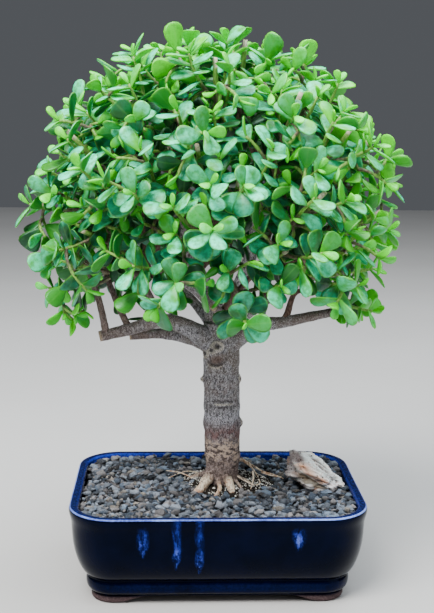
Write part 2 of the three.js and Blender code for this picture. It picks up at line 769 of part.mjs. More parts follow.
// Inside of the pot above its floor, less a clearance
function fillingBlock(low, high) {
  const w = HALF_WIDTH - SEAT;
  return turnedRound([
    [0, low],
    [w - 23.2, low],
    ...(low < 20 ? [[w - 15.7, 17.4], [w - 9.8, 30.2], [w - 7.3, 45]] : [[w - 7.4, low]]),
    [w - 7.3, high],
    [0, high],
  ]);
}

const moundSolid = (extra) => upright(27 + extra, 15 + extra, SOIL_TOP - 2, MOUND_TOP + extra, 4, 0, 14);

function makeSoil() {
  const block = fillingBlock(FLOOR_TOP + SEAT, SOIL_TOP).add(moundSolid(0));
  const overScreens = [-DRAIN_X, DRAIN_X].map((x) => boxAt(x, 0, FLOOR_TOP, 35, 27, 4));
  return [...overScreens, footOfTree(SEAT)].reduce((soil, hole) => soil.subtract(hole), block);
}

// The gravel: a layer on the soil whose top is a relief of grains, larger than life
function makeGravel() {
  const columns = Math.round(POT_WIDTH / GRAIN_PITCH);
  const rows = Math.round(POT_DEPTH / GRAIN_PITCH);
  const slab = new THREE.BoxGeometry(POT_WIDTH, POT_DEPTH, 2 * SOIL_TOP, columns, rows, 1);
  moveEach(slab, (from) => {
    const column = Math.round(from.x / GRAIN_PITCH);
    const row = Math.round(from.y / GRAIN_PITCH);
    const x = from.x + 0.32 * GRAIN_PITCH * spread(column, row, 81);
    const y = from.y + 0.32 * GRAIN_PITCH * spread(column, row, 82);
    if (from.z < 0) return point(x, y, 0);
    const grain = (column + row) % 2 === 0 ? GRAIN_HEIGHT : 0;
    const heap = GRAVEL_CROWN * Math.exp(-((x + 10) ** 2 + (y - 8) ** 2) / 55 ** 2);
    return point(x, y, GRAVEL_EDGE + heap + grain * (0.5 + chance(column, row, 83)) - 0.5 * GRAIN_HEIGHT);
  });
  const layer = solidOf(slab).intersect(fillingBlock(SOIL_TOP + SEAT, RIM_Z + 8));
  const hollows = [moundSolid(SEAT), footOfTree(SEAT), stoneSolid(SEAT)];
  return hollows.reduce((bed, hollow) => bed.subtract(hollow), layer);
}

const bonsai = new THREE.Group();
bonsai.name = "dwarf_jade_bonsai";
bonsai.add(piece("pot", makePot(), 0x0b1440, 0.12));
bonsai.add(piece("drain_screen_left", makeScreen(-DRAIN_X), 0x1d1f1e, 0.6));
bonsai.add(piece("drain_screen_right", makeScreen(DRAIN_X), 0x1d1f1e, 0.6));
bonsai.add(piece("soil", makeSoil(), 0x241d18, 0.95));
bonsai.add(piece("lava_gravel", makeGravel(), 0x5d5c5e, 0.9));
bonsai.add(piece("stone", stoneSolid(0), 0xcbb9a6, 0.85));
bonsai.add(piece("trunk_and_branches", makeTree(), 0x7d6f66, 0.85));
for (const skeleton of skeletons) {
  bonsai.add(piece(sprayName(skeleton.index), makeSpray(skeleton), 0x5fa53f, 0.38));
}

// The origin is the middle of the whole object's outline, on the ground
const bounds = new THREE.Box3().setFromObject(bonsai);
const middle = bounds.getCenter(point(0, 0, 0));
bonsai.position.set(-middle.x, -middle.y, 0);

export default bonsai;
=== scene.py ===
# Looks of a dwarf jade bonsai in a glazed pot: bark, leaves, lava gravel, accent stone and glaze.
# Shapes are worked out in millimetres from the middle of the pot and end in metres in the model's frame.
import math

import bmesh
import bpy
import numpy as np
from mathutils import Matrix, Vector


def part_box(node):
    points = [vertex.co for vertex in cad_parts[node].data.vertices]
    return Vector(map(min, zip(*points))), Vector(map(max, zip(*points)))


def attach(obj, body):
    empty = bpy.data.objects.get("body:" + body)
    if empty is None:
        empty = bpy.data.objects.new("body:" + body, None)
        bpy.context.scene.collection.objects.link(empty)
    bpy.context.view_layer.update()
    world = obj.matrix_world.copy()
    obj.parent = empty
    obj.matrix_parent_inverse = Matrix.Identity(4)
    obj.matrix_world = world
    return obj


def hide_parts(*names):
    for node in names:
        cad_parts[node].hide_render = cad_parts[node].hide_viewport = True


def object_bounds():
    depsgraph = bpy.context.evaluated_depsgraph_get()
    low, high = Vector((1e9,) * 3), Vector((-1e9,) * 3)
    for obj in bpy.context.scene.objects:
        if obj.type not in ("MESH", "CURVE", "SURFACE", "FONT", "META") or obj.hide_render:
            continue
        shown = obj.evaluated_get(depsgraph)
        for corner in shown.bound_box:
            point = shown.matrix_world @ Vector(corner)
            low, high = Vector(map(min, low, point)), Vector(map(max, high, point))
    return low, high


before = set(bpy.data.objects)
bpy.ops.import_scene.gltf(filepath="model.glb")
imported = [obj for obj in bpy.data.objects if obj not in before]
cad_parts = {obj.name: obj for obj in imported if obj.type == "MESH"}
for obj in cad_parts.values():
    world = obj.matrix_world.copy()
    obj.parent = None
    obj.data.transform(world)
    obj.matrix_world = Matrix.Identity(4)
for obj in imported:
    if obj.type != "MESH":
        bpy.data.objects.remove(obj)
CAD_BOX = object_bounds()

# Pot sizes, as in the part
POT_WIDTH = 203
POT_DEPTH = 147
POT_CORNER = 31
RIM_Z = 65
UNDERSIDE = 6.5
FOOT_INSET = 15
FOOT_WIDTH = 9
ARCH_TOP = 5
POT_WALL = 7
DRAIN_X = 45
DRAIN_RADIUS = 6.5

# Sizes of the filling: the gravel's surface and grains, the bare soil round the trunk and its white crumbs
GRAVEL_EDGE = 60.2
GRAVEL_CROWN = 3.6
BED_BELOW = 3.4
GRAINS = 2900
LOWER_GRAINS = 0.56
PATCH_MIDDLE = (8.5, 9)
PATCH_HALF = (31.5, 27)
CRUMBS = 800
TRUNK_FOOT = (4.5, 2)
STONE_AT = np.array([71.0, 2, 69.5])
STONE_ROOM = (19, 11)
SHEET_THICKNESS = 0.8

# Sizes of the crown, as in the part
SEAT = 0.35
CROWN_CENTRE = np.array([-4.0, 0, 258])
CROWN_ACROSS = 116
CROWN_DEEP = 105
CROWN_UP = 119
CROWN_DOWN = 80
GROWTH_FROM = np.array([3.0, 2, 204])
SPRAYS = 40
LOWEST_SINE = -0.46
SPRAY_LENGTH = 48
SHOOTS = 3
SHOOT_SPREAD = 17
TWIG_END_RADIUS = 1.6
SHOOT_RADIUS = 1.05
LEAF_LENGTH = 18.4
LEAF_SHAPE = 0.82
LEAF_THICKNESS = 2
GOLDEN_ANGLE = math.pi * (3 - math.sqrt(5))
SEED = 35
CHANCE_STEPS = (12.9898, 78.233, 37.719, 94.673, 4.1414)
FULL_TURN = 6.283
LARGEST = 4000

# How the scene's own leaves and sprigs are placed and drawn
HIGHEST_TIP = 368
SPRIG_TRIES = 1500
SPRIG_RADIUS = 0.8
SPRIG_LONGEST = 50
SPRIG_ROOM = 8.5
SPRIG_WOOD_THICKEST = 5
RUNNER_EVERY = 22

POT_LOW, POT_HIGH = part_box("pot")
POT_MIDDLE = Vector(((POT_LOW[0] + POT_HIGH[0]) / 2, (POT_LOW[1] + POT_HIGH[1]) / 2, 0))
UP = np.array([0.0, 0, 1])


def chance(*keys):
    """A number from 0 to 1 that is always the same for the same keys."""
    total = SEED * 0.7549
    for key, step in zip(keys, CHANCE_STEPS):
        total += key * step
    wave = math.sin(total) * 43758.5453
    return wave - math.floor(wave)


def spread(*keys):
    """A number from -1 to 1 that is always the same for the same keys."""
    return 2 * chance(*keys) - 1


def unit(way):
    return way / np.linalg.norm(way)


def blend(start, end, share):
    return start + (end - start) * share


def smooth_step(value, low, high):
    share = np.clip((value - low) / (high - low), 0, 1)
    return share * share * (3 - 2 * share)


def square_to(axis):
    """Two ways square to an axis and to each other."""
    aside = np.array([1.0, 0, 0]) if abs(axis[2]) > 0.8 else UP
    one = unit(np.cross(aside, axis))
    return one, np.cross(axis, one)


def turning(axis, angle):
    """A matrix that turns spots about the axis 0, 1 or 2."""
    one, two = (axis + 1) % 3, (axis + 2) % 3
    turn = np.eye(3)
    turn[one, one] = turn[two, two] = math.cos(angle)
    turn[two, one] = math.sin(angle)
    turn[one, two] = -math.sin(angle)
    return turn


# Curves

class Curve:
    """A curve by a rule that gives a spot for a share of its length."""

    def __init__(self, rule):
        self.at = rule

    def tangent(self, share):
        low = max(0, share - 0.0001)
        high = min(1, share + 0.0001)
        return unit(self.at(high) - self.at(low))

    def length(self):
        spots = np.array([self.at(i / 24) for i in range(25)])
        return float(np.linalg.norm(np.diff(spots, axis=0), axis=1).sum())


def line(start, end):
    return Curve(lambda share: start + (end - start) * share)


def bow(start, bend, end):
    return Curve(lambda t: (1 - t) ** 2 * start + 2 * (1 - t) * t * bend + t * t * end)


def swerve(start, first, second, end):
    def rule(t):
        u = 1 - t
        return u**3 * start + 3 * u * u * t * first + 3 * u * t * t * second + t**3 * end

    return Curve(rule)


def path_through(route):
    """A smooth curve through every spot of a route."""
    spots = [np.array(spot, float) for spot in route]
    before = [2 * spots[0] - spots[1], *spots[:-1]]
    after = [*spots[1:], 2 * spots[-1] - spots[-2]]

    def rule(share):
        place = share * (len(spots) - 1)
        leg = min(int(place), len(spots) - 2)
        t = place - leg
        start, end = spots[leg], spots[leg + 1]
        leave = 0.5 * (end - before[leg])
        arrive = 0.5 * (after[leg + 1] - start)
        return (
            (2 * t**3 - 3 * t**2 + 1) * start
            + (t**3 - 2 * t**2 + t) * leave
            + (3 * t**2 - 2 * t**3) * end
            + (t**3 - t**2) * arrive
        )

    return Curve(rule)


# Meshes: a shape made once by a bmesh operator is copied many times, each copy moved by a rule

def from_first(face):
    """A face that starts at its first corner; one of four sides keeps the diagonal that splits it."""
    start = 0
    if len(face) == 3:
        start = face.index(min(face))
    elif len(face) == 4 and face[2] < face[0]:
        start = 2
    return face[start:] + face[:start]


class Shape:
    """Corners and faces of a shape that is used over and over, in the same order in every run."""

    def __init__(self, mesh):
        mesh.verts.index_update()
        self.corners = np.array([v.co[:] for v in mesh.verts])
        self.faces = sorted(from_first([v.index for v in face.verts]) for face in mesh.faces)
        mesh.free()


def drum(sides, rings):
    """An upright drum of radius 1 from z = 0 to z = 1 with its ends closed."""
    mesh = bmesh.new()
    bmesh.ops.create_cone(mesh, cap_ends=True, segments=sides, radius1=1, radius2=1, depth=1)
    upright = [e for e in mesh.edges if abs(e.verts[0].co.z - e.verts[1].co.z) > 0.5]
    bmesh.ops.subdivide_edges(mesh, edges=upright, cuts=rings - 1, use_grid_fill=True)
    bmesh.ops.translate(mesh, verts=mesh.verts, vec=(0, 0, 0.5))
    return Shape(mesh)


def ball(around, along):
    """A round ball of radius 1 with a pole at each end of z."""
    mesh = bmesh.new()
    bmesh.ops.create_uvsphere(mesh, u_segments=around, v_segments=along, radius=1)
    return Shape(mesh)


def pebble(cuts):
    """A ball of radius 1 of equal triangles."""
    mesh = bmesh.new()
    bmesh.ops.create_icosphere(mesh, subdivisions=cuts, radius=1)
    return Shape(mesh)


class Piece:
    """Collects copies of shapes, with facts about each corner, into one mesh object."""

    def __init__(self, name, *facts, smooth=True):
        self.name = name
        self.smooth = smooth
        self.corners = []
        self.faces = []
        self.facts = {fact: [] for fact in facts}
        self.count = 0

    def add(self, shape, corners, **facts):
        for face in shape.faces:
            self.faces.append([self.count + i for i in face])
        self.corners.append(corners)
        for name, values in self.facts.items():
            values.append(np.broadcast_to(facts.get(name, (0, 0, 0)), (len(corners), 3)))
        self.count += len(corners)

    def finish(self, material, *nodes, keep_in=None):
        """Makes the mesh object, in metres, which stands for the nodes that are named."""
        corners = np.concatenate(self.corners) * 0.001 + np.array(POT_MIDDLE)
        if keep_in:
            low, high = (np.array(corner) for corner in keep_in)
            corners = np.clip(corners, low + 0.0001, high - 0.0001)
        mesh = bpy.data.meshes.new(self.name)
        mesh.from_pydata(corners.tolist(), [], self.faces)
        for name, values in self.facts.items():
            fact = mesh.attributes.new(name, "FLOAT_VECTOR", "POINT")
            fact.data.foreach_set("vector", np.concatenate(values).astype(np.float32).ravel())
        mesh.polygons.foreach_set("use_smooth", [self.smooth] * len(mesh.polygons))
        mesh.materials.append(material)
        piece = bpy.data.objects.new(self.name, mesh)
        bpy.context.scene.collection.objects.link(piece)
        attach(piece, "root")
        if nodes:
            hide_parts(*nodes)
        return piece


def tube(shape, curve, radius_rule):
    """Corners of a drum bent along a curve; radius_rule gives the radius for shares and angles."""
    shares = shape.corners[:, 2]
    stops = np.unique(np.round(shares, 5))
    tangents = [curve.tangent(share) for share in stops]
    normal = np.array([1.0, 0, 0]) if abs(tangents[0][2]) > 0.8 else UP
    normals = []
    for tangent in tangents:
        normal = unit(normal - np.dot(normal, tangent) * tangent)
        normals.append(normal)
    spots = np.array([curve.at(share) for share in stops])
    tangents = np.array(tangents)
    normals = np.array(normals)
    sides = np.cross(tangents, normals)
    ring = np.searchsorted(stops, np.round(shares, 5))
    angle = np.arctan2(shape.corners[:, 1], shape.corners[:, 0])
    middle = np.hypot(shape.corners[:, 0], shape.corners[:, 1])
    radius = radius_rule(shares, angle) * middle
    out = np.cos(angle)[:, None] * normals[ring] + np.sin(angle)[:, None] * sides[ring]
    return spots[ring] + out * radius[:, None]


def noise(spots, scale, salt=0):
    """Smooth noise from -1 to 1, by a few crossed waves."""
    x, y, z = (spots * scale).T
    wave = np.sin(x * 1.7 + 2.3 * np.sin(y * 0.9 + salt) + salt)
    wave += np.sin(y * 2.1 + 1.9 * np.sin(z * 1.3 - salt) + 2 * salt)
    wave += np.sin(z * 1.9 + 2.1 * np.sin(x * 1.1 + 3 * salt) - salt)
    return wave / 3


# Wood: the same routes as in the part

TRUNK_ROUTE = [[5, 2, 40], [4.5, 2, 72], [4, 2, 108], [3, 2, 146], [2.5, 2, 182]]
TRUNK_LOW = 40
TRUNK_HIGH = 182
TRUNK_RADIUS = 13
LIMBS = [
    # the long left limb, cut short at its end
    ([[1, 0, 164], [-21, -6, 179], [-40, -9, 184.5], [-60, -10, 179], [-82, -12, 174]], 7.4, 3.6),
    # the lower left limb behind it
    ([[0, 4, 162], [-18, 9, 168], [-40, 13, 171], [-62, 15, 169]], 6, 3.2),
    # the right limb
    ([[6, 0, 165], [27, -5, 180], [44, -6, 183], [64, -5, 187], [82, -2, 190]], 6.6, 2.8),
    # limbs to the back
    ([[6, 6, 168], [23, 22, 186], [43, 40, 197], [62, 56, 206]], 5.6, 2.4),
    ([[2, 8, 170], [-4, 28, 189], [-12, 52, 201], [-18, 74, 208]], 5.6, 2.4),
    ([[0, 5, 174], [-20, 22, 196], [-46, 40, 212]], 5, 2.4),
    # the two leaders in the middle
    ([[1, 2, 174], [-5, 2, 198], [-17, -2, 224], [-27, -4, 252], [-31, 0, 284]], 8.4, 2.8),
    ([[5, 3, 174], [13, 5, 200], [23, 6, 230], [27, 8, 262], [25, 8, 296]], 7.6, 2.8),
    # limbs to the front
    ([[3, -3, 170], [4, -22, 186], [0, -44, 196], [-6, -64, 204]], 5.2, 2.4),
    ([[6, -3, 176], [25, -20, 196], [46, -38, 214]], 4.8, 2.4),
    ([[-4, 1, 194], [-20, -18, 210], [-42, -36, 226]], 4.2, 2.2),
    # upright side branches on the long left limb
    ([[-77, -12, 175], [-80, -13, 191], [-84, -13, 206], [-92, -12, 224]], 2.8, 1.9),
    ([[-61, -10, 178], [-70, -5, 196], [-78, 2, 215]], 2.6, 1.9),
    ([[-40, -9, 184], [-47, -11, 201], [-56, -13, 215], [-74, -17, 232]], 3.2, 1.9),
]
ROOTS = [
    ([[-3, -3, 74], [-9, -10, 66], [-15, -14, 61], [-22, -17, 55]], 5, 2.2),
    ([[1, -7, 71], [2, -15, 65], [-2, -20, 60], [-2, -25, 54]], 2.6, 1.4),
    ([[7, -7, 72], [10, -13, 65], [10, -16, 57]], 4.2, 2.4),
    ([[11, 2, 70], [20, 2, 66], [28, -1, 61], [35, -4, 54]], 3.4, 1.6),
    ([[12, -3, 69], [18, -10, 63], [19, -18, 56]], 2.4, 1.4),
    ([[3, 9, 72], [-1, 20, 64], [-5, 29, 55]], 4.4, 2),
    ([[-7, 6, 70], [-18, 11, 64], [-27, 15, 56]], 3.4, 1.5),
]
# How pale each root is, three cream ones in front and the rest soil-brown, and how slim it is drawn
ROOT_PALENESS = [1, 0.9, 1, 0.4, 0.3, 0.4, 0.3]
ROOT_SLIMNESS = [0.98, 0.7, 0.95, 0.62, 0.55, 0.9, 0.7]
# Fine roots that lie on the gravel and a thicker one that arches over it, each with its radius
HAIR_ROOTS = [
    ([[-14, 6, 64], [-21, 12, 66], [-28, 18, 66.4], [-36, 22, 66.2]], 0.75),
    ([[-13, 18, 66], [-20, 19, 66.6], [-27, 15, 66.2], [-34, 7, 65.6]], 0.5),
    ([[13, -1, 71], [20, -4, 67.4], [27, -9, 65.8], [31, -6, 66], [31, 2, 66.4]], 0.7),
    ([[36, 16, 66.6], [42, 12, 66.4], [49, 4, 66]], 0.8),
    ([[34, 17, 66.2], [41, 9, 66.4], [48, 8, 65.8]], 0.5),
    ([[27, 10, 69], [27, 1, 67.2], [24, -14, 64.6]], 1.0),
    ([[12, 6, 79], [19, 15, 76.5], [27, 19, 71], [34, 17, 67.6], [40, 14, 65.4]], 2.1),
    ([[20, 15, 76], [27, 12, 71], [31, 7, 66]], 0.9),
]
# Healed cuts on the trunk: angle in degrees, height, half width, height of the bump and depth of its pit
TRUNK_SCARS = [
    (-104, 167, 3.7, 2.2, 2.6),
    (-120, 164.5, 3.3, 2, 2.5),
    (-150, 161, 3.6, 2.3, 2.5),
    (-172, 142, 1.9, 2.6, 0.5),
    (-14, 142, 2.6, 1.7, 1.0),
    (-6, 112, 2.4, 2.3, 0.7),
    (-174, 113, 4.4, 1.1, 0),
    (150, 118, 2.6, 1.7, 1.2),
    (70, 150, 3, 1.8, 1.4),
    (95, 129, 3.4, 1.1, 0.9),
]
COLLAR_ANGLE = -112
COLLAR_HEIGHT = 161
FOLD_HEIGHT = 153.6
FOLD_SAG = 0.062
LEAF_LINES = (129, 125)
BACK_LINE = 137
NODE_RINGS = [88, 111, 124, 140, 155, 169]


def around_trunk(angle, degrees):
    """How far aside of a line up the trunk a corner lies, in millimetres."""
    return TRUNK_RADIUS * np.angle(np.exp(1j * (angle - math.radians(degrees))))


def bell(value, middle, width):
    """1 at the middle, fading to 0 on both sides over about twice the width."""
    return np.exp(-(((value - middle) / width) ** 2))


def off_scar(angle, height, turn, level, half):
    """How far a corner is from the middle of a scar: 1 at its edge."""
    return np.hypot(around_trunk(angle, turn), (height - level) * 1.1) / half


def trunk_grooves(angle, height):
    """Depth from 0 to 1 of the grooves, which are also painted dark as shade: the curved fold under the
    cuts and the leaf-joint lines.
    """
    aside = around_trunk(angle, COLLAR_ANGLE)
    fold = bell(height, FOLD_HEIGHT + FOLD_SAG * aside**2, 0.85) * bell(aside, 0, 9)
    front = np.exp(-((around_trunk(angle, -88) / 8.5) ** 4))
    lines = bell(height, LEAF_LINES[0] + 0.5 * np.sin(aside), 0.7) + 0.8 * bell(height, LEAF_LINES[1], 0.7)
    back = np.exp(-((around_trunk(angle, 80) / 10) ** 4))
    back = back * bell(height, BACK_LINE + 0.4 * np.sin(aside), 0.6)
    return np.clip(fold + lines * front + back, 0, 1)


def trunk_lips(angle, height):
    """Height from 0 to 1 of the pale lips under the fold and between the leaf-joint lines."""
    aside = around_trunk(angle, COLLAR_ANGLE)
    under_fold = bell(height, FOLD_HEIGHT - 2 + FOLD_SAG * aside**2, 0.9) * bell(aside, 0, 8)
    front = np.exp(-((around_trunk(angle, -88) / 8) ** 4))
    return np.clip(under_fold + bell(height, sum(LEAF_LINES) / 2, 0.8) * front, 0, 1)


def collar_stain(shares, angle):
    """How brown the hollow between the cuts and the fold is."""
    height = blend(TRUNK_LOW, TRUNK_HIGH, shares)
    return 0.85 * bell(around_trunk(angle, COLLAR_ANGLE + 6), 0, 6) * bell(height, 157.5, 3.4)


def trunk_rule(shares, angle):
    """The trunk's radius: a slender foot, rings of old leaf joints, a collar under the cuts, fine skin."""
    height = blend(TRUNK_LOW, TRUNK_HIGH, shares)
    foot = smooth_step(height, 55, 105)
    radius = TRUNK_RADIUS * blend(0.83, 0.975, foot)
    for ring in NODE_RINGS:
        radius = radius + 0.45 * bell(height, ring + 1.2 * np.sin(angle * 2 + ring), 2.6)
    aside = around_trunk(angle, COLLAR_ANGLE)
    radius = radius + 1.5 * bell(aside, 0, 8) * bell(height, COLLAR_HEIGHT + 1, 6.5)
    for turn, level, half, bump, pit in TRUNK_SCARS:
        off = off_scar(angle, height, turn, level, half)
        radius = radius + bump * np.exp(-(off**2)) - pit * np.exp(-((off / 0.45) ** 2))
        radius = radius - 0.3 * bell(off, 1.8, 0.4)
    radius = radius - 1.3 * trunk_grooves(angle, height) + 0.45 * trunk_lips(angle, height)
    skin = np.stack([np.cos(angle) * 13, np.sin(angle) * 13, height], 1)
    radius = radius + 0.45 * noise(skin, 0.14, 1) + 0.16 * noise(skin, 0.55, 2)
    rough = 1 - 0.6 * smooth_step(height, 88, 112)
    radius = radius + rough * 0.28 * noise(skin * [1, 1, 1.9], 0.9, 5)
    return radius + 0.07 * noise(skin * [1, 1, 0.5], 2.2, 3)


def trunk_marks(shares, angle):
    """How dark each corner of the trunk is painted as shade in a pit, how pale a nub it has and how deep
    it lies in the grooves, which are painted dark as shade too.
    """
    height = blend(TRUNK_LOW, TRUNK_HIGH, shares)
    dark = np.zeros_like(shares)
    pale = np.zeros_like(shares)
    for turn, level, half, _, pit in TRUNK_SCARS:
        off = off_scar(angle, height, turn, level, half)
        # Pits are painted dark, as shade
        if pit:
            dark = dark + min(1, pit / 1.5) * np.exp(-((off / 0.55) ** 2))
            pale = pale + bell(off, 0.85, 0.35)
    pale = pale + 0.9 * trunk_lips(angle, height)
    return np.stack([np.clip(dark, 0, 1), np.clip(pale, 0, 1), trunk_grooves(angle, height)], 1)


# The crown's skeleton, worked out as in the part so that each leaf falls in the same place

def crown_reach(out):
    """How far the crown reaches from its centre along a way out."""
    power = 2 if out[2] > 0 else 3
    level = math.hypot(out[0] / CROWN_ACROSS, out[1] / CROWN_DEEP)
    upright = abs(out[2]) / (CROWN_UP if out[2] > 0 else CROWN_DOWN)
    return (level**power + upright**power) ** (-1 / power)


def spray_plan(index):
    """Where a spray's tip and foot are; the sprays stand round the crown in a golden spiral."""
    sine = LOWEST_SINE + (1 - LOWEST_SINE) * (index + 0.5) / SPRAYS
    turn = index * GOLDEN_ANGLE + 0.16 * spread(index, 1)
    flat = math.sqrt(1 - sine * sine)
    out = np.array([flat * math.cos(turn), flat * math.sin(turn), sine])
    tip = CROWN_CENTRE + out * (crown_reach(out) + 4 * spread(index, 2))
    axis = unit(tip - GROWTH_FROM)
    length = SPRAY_LENGTH + 4 * spread(index, 3)
    return {"index": index, "tip": tip, "axis": axis, "foot": tip - axis * length, "length": length}


class Wood:
    """All wood as short straight rods, for tests of what is in the way."""

    def __init__(self):
        self.start = np.zeros((LARGEST, 3))
        self.end = np.zeros((LARGEST, 3))
        self.radius = np.zeros(LARGEST)
        self.owner = np.zeros(LARGEST)
        self.count = 0

    def add(self, start, end, radius, owner):
        self.start[self.count] = start
        self.end[self.count] = end
        self.radius[self.count] = radius
        self.owner[self.count] = owner
        self.count += 1

    def gap_to(self, start, end, radius, skipped_owner):
        """The least gap between one rod and all that have another owner."""
        keep = self.owner[: self.count] != skipped_owner
        low, high = self.start[: self.count][keep], self.end[: self.count][keep]
        d1 = end - start
        d2 = high - low
        r = start - low
        a = d1 @ d1
        e = np.einsum("ij,ij->i", d2, d2)
        f = np.einsum("ij,ij->i", d2, r)
        b = d2 @ d1
        c = r @ d1
        bottom = a * e - b * b
        safe = np.where(bottom > 1e-9, bottom, 1)
        s = np.where(bottom > 1e-9, np.clip((b * f - c * e) / safe, 0, 1), 0)
        t = np.clip((b * s + f) / e, 0, 1)
        s = np.clip((b * t - c) / a, 0, 1)
        apart = r + s[:, None] * d1 - t[:, None] * d2
        gap = np.linalg.norm(apart, axis=1) - self.radius[: self.count][keep] - radius
        return gap.min()

    def spots_clear(self, spots, room):
        """True if every spot is at least room from the skin of all rods near it."""
        low, high = self.start[: self.count], self.end[: self.count]
        middle = spots.mean(0)
        reach = np.linalg.norm(spots - middle, axis=1).max() + room
        half = np.linalg.norm(high - low, axis=1) / 2
        near = np.linalg.norm((low + high) / 2 - middle, axis=1) < reach + half + self.radius[: self.count]
        if not near.any():
            return True
        low, run = low[near], high[near] - low[near]
        from_low = spots[:, None] - low
        share = np.clip(np.einsum("ijk,jk->ij", from_low, run) / np.einsum("jk,jk->j", run, run), 0, 1)
        gap = np.linalg.norm(from_low - share[..., None] * run, axis=2) - self.radius[: self.count][near]
        return bool((gap >= room).all())


# Owners of rods: a spray's own index, its twig's from 1000 on, and below 0 the limbs and no one
TWIG_OWNER = 1000
LIMB_OWNER = -1
NO_OWNER = -2
wood = Wood()
buds = []


def note_wood(curve, thick, thin, samples, first_bud, last_bud, owner):
    """Notes a tapering curve as rods, and the spots along it where a twig may start."""
    for i in range(samples + 1):
        spot = curve.at(i / samples)
        radius = blend(thick, thin, i / samples)
        if first_bud <= i <= last_bud:
            buds.append((spot, curve.tangent(i / samples), radius))
        if i:
            wood.add(curve.at((i - 1) / samples), spot, radius, owner)


def best_bud(plan):
    """The bud from which a spray is reached by the shortest way with the least bending."""
    best = None
    least = math.inf
    for spot, tangent, radius in buds:
        way = plan["foot"] - spot
        length = np.linalg.norm(way)
        if length < 4:
            continue
        way = way / length
        cost = length + 26 * (1 - way @ plan["axis"]) + 10 * (1 - way @ tangent)
        if cost < least:
            least = cost
            best = (spot, tangent, radius)
    return best


def twig_curve(bud, plan):
    """A twig that leaves its bud along the wood and meets the spray's foot along the spray's axis."""
    spot, tangent, _ = bud
    way = plan["foot"] - spot
    pull = np.linalg.norm(way) * 0.36
    start = unit(unit(way) + tangent * 0.7)
    return swerve(spot, spot + start * pull, plan["foot"] - plan["axis"] * pull, plan["foot"])


def spray_skeleton(plan, phase):
    """A spray's stem and the shoots that lean out from it."""
    index, axis, foot, tip = plan["index"], plan["axis"], plan["foot"], plan["tip"]
    one, two = square_to(axis)
    cut = plan["length"] * (0.5 + 0.22 * chance(index, 4))
    stem = line(foot + axis * SEAT, foot + axis * cut)
    shoots = []
    for k in range(SHOOTS):
        turn = phase + 2 * math.pi * k / SHOOTS + 0.3 * spread(index, k, 5)
        aside = one * math.cos(turn) + two * math.sin(turn)
        out = SHOOT_SPREAD * (1 + 0.22 * spread(index, k, 6))
        end = tip + aside * out + axis * (6 * spread(index, k, 7) - 2)
        start = foot + axis * plan["length"] * (0.14 + 0.13 * k)
        lean = unit(aside * 0.62 + axis * 0.5)
        shoots.append(bow(start, start + lean * np.linalg.norm(end - start) * 0.48, end))
    return {"index": index, "stem": stem, "shoots": shoots}


def skeleton_rods(skeleton):
    """A spray's stem and shoots as short straight rods."""
    rods = []
    for curve, radius, samples in [
        (skeleton["stem"], TWIG_END_RADIUS, 2),
        *((shoot, SHOOT_RADIUS, 4) for shoot in skeleton["shoots"]),
    ]:
        for i in range(samples):
            rods.append((curve.at(i / samples), curve.at((i + 1) / samples), radius))
    return rods


plans = [spray_plan(index) for index in range(SPRAYS)]
trunk_path = path_through(TRUNK_ROUTE)
note_wood(trunk_path, TRUNK_RADIUS, TRUNK_RADIUS, 8, 1, 0, LIMB_OWNER)
for route, thick, thin in LIMBS:
    note_wood(path_through(route), thick, thin, 8, 3, 8, LIMB_OWNER)
fork = np.array(TRUNK_ROUTE[-1], float)
twigs = []
for plan in sorted(plans, key=lambda one: np.linalg.norm(one["foot"] - fork)):
    bud = best_bud(plan)
    curve = twig_curve(bud, plan)
    thick = min(2.6, 0.85 * bud[2])
    twigs.append((curve, thick))
    note_wood(curve, thick, TWIG_END_RADIUS, 2, 1, 1, TWIG_OWNER + plan["index"])

skeletons = []
for plan in plans:
    best = None
    for attempt in range(12):
        skeleton = spray_skeleton(plan, 2.1 * chance(plan["index"], 8) + attempt * 0.35)
        rods = skeleton_rods(skeleton)
        gap = min(wood.gap_to(*rod, TWIG_OWNER + plan["index"]) for rod in rods)
        if best is None or gap > best[0]:
            best = (gap, skeleton, rods)
        if gap > 2:
            break
    for rod in best[2]:
        wood.add(*rod, plan["index"])
    skeletons.append(best[1])


# Leaves

def leaf_half_width(share):
    """Half the width of a leaf at a share of its length, for one 1 long and 1 wide."""
    cosine = 2 * np.clip(share, 0, 1) ** 1.35 - 1
    return 0.5 * np.sqrt(np.maximum(0, 1 - cosine * cosine)) * (1 + 0.45 * cosine) * 0.96


def leaf_sag(leaf, share):
    return -leaf["bend"] * leaf["length"] * share * share


def shoot_facing(shoot, key):
    one, two = square_to(shoot.tangent(0))
    turn = 2.4 * chance(key, 20)
    return one * math.cos(turn) + two * math.sin(turn)


def leaf_at(shoot, key, node, side, share, size, attempt, open_by):
    """A leaf: where it joins the stem, which way it points and which way its upper face looks."""
    tangent = shoot.tangent(share)
    one = shoot_facing(shoot, key)
    one = unit(one - (one @ tangent) * tangent)
    two = np.cross(tangent, one)
    turn = math.pi * (side + node / 2) + 0.35 * spread(key, node, side, 21 + attempt)
    aside = one * math.cos(turn) + two * math.sin(turn)
    opening = open_by + 0.22 * spread(key, node, side, 31 + attempt)
    along = tangent * math.cos(opening) + aside * math.sin(opening)
    face = tangent * math.sin(opening) - aside * math.cos(opening)
    roll = 0.45 * spread(key, node, side, 41 + attempt)
    face = face + np.cross(along, face) * math.tan(roll) + UP * 0.3
    face = unit(face - (face @ along) * along)
    length = LEAF_LENGTH * size * (1 + 0.14 * spread(key, node, side, 51)) * (1 - 0.05 * attempt)
    return {
        "foot": shoot.at(share),
        "along": along,
        "face": face,
        "across": np.cross(face, along),
        "length": length,
        "width": length * LEAF_SHAPE * (1 + 0.1 * spread(key, node, side, 61)),
        "bend": 0.1 + 0.1 * spread(key, node, side, 71),
    }


TEST_SHARES = np.repeat([0.3, 0.5, 0.7, 0.88, 1], 5)
TEST_SIDES = np.tile([-0.95, -0.5, 0, 0.5, 0.95], 5)


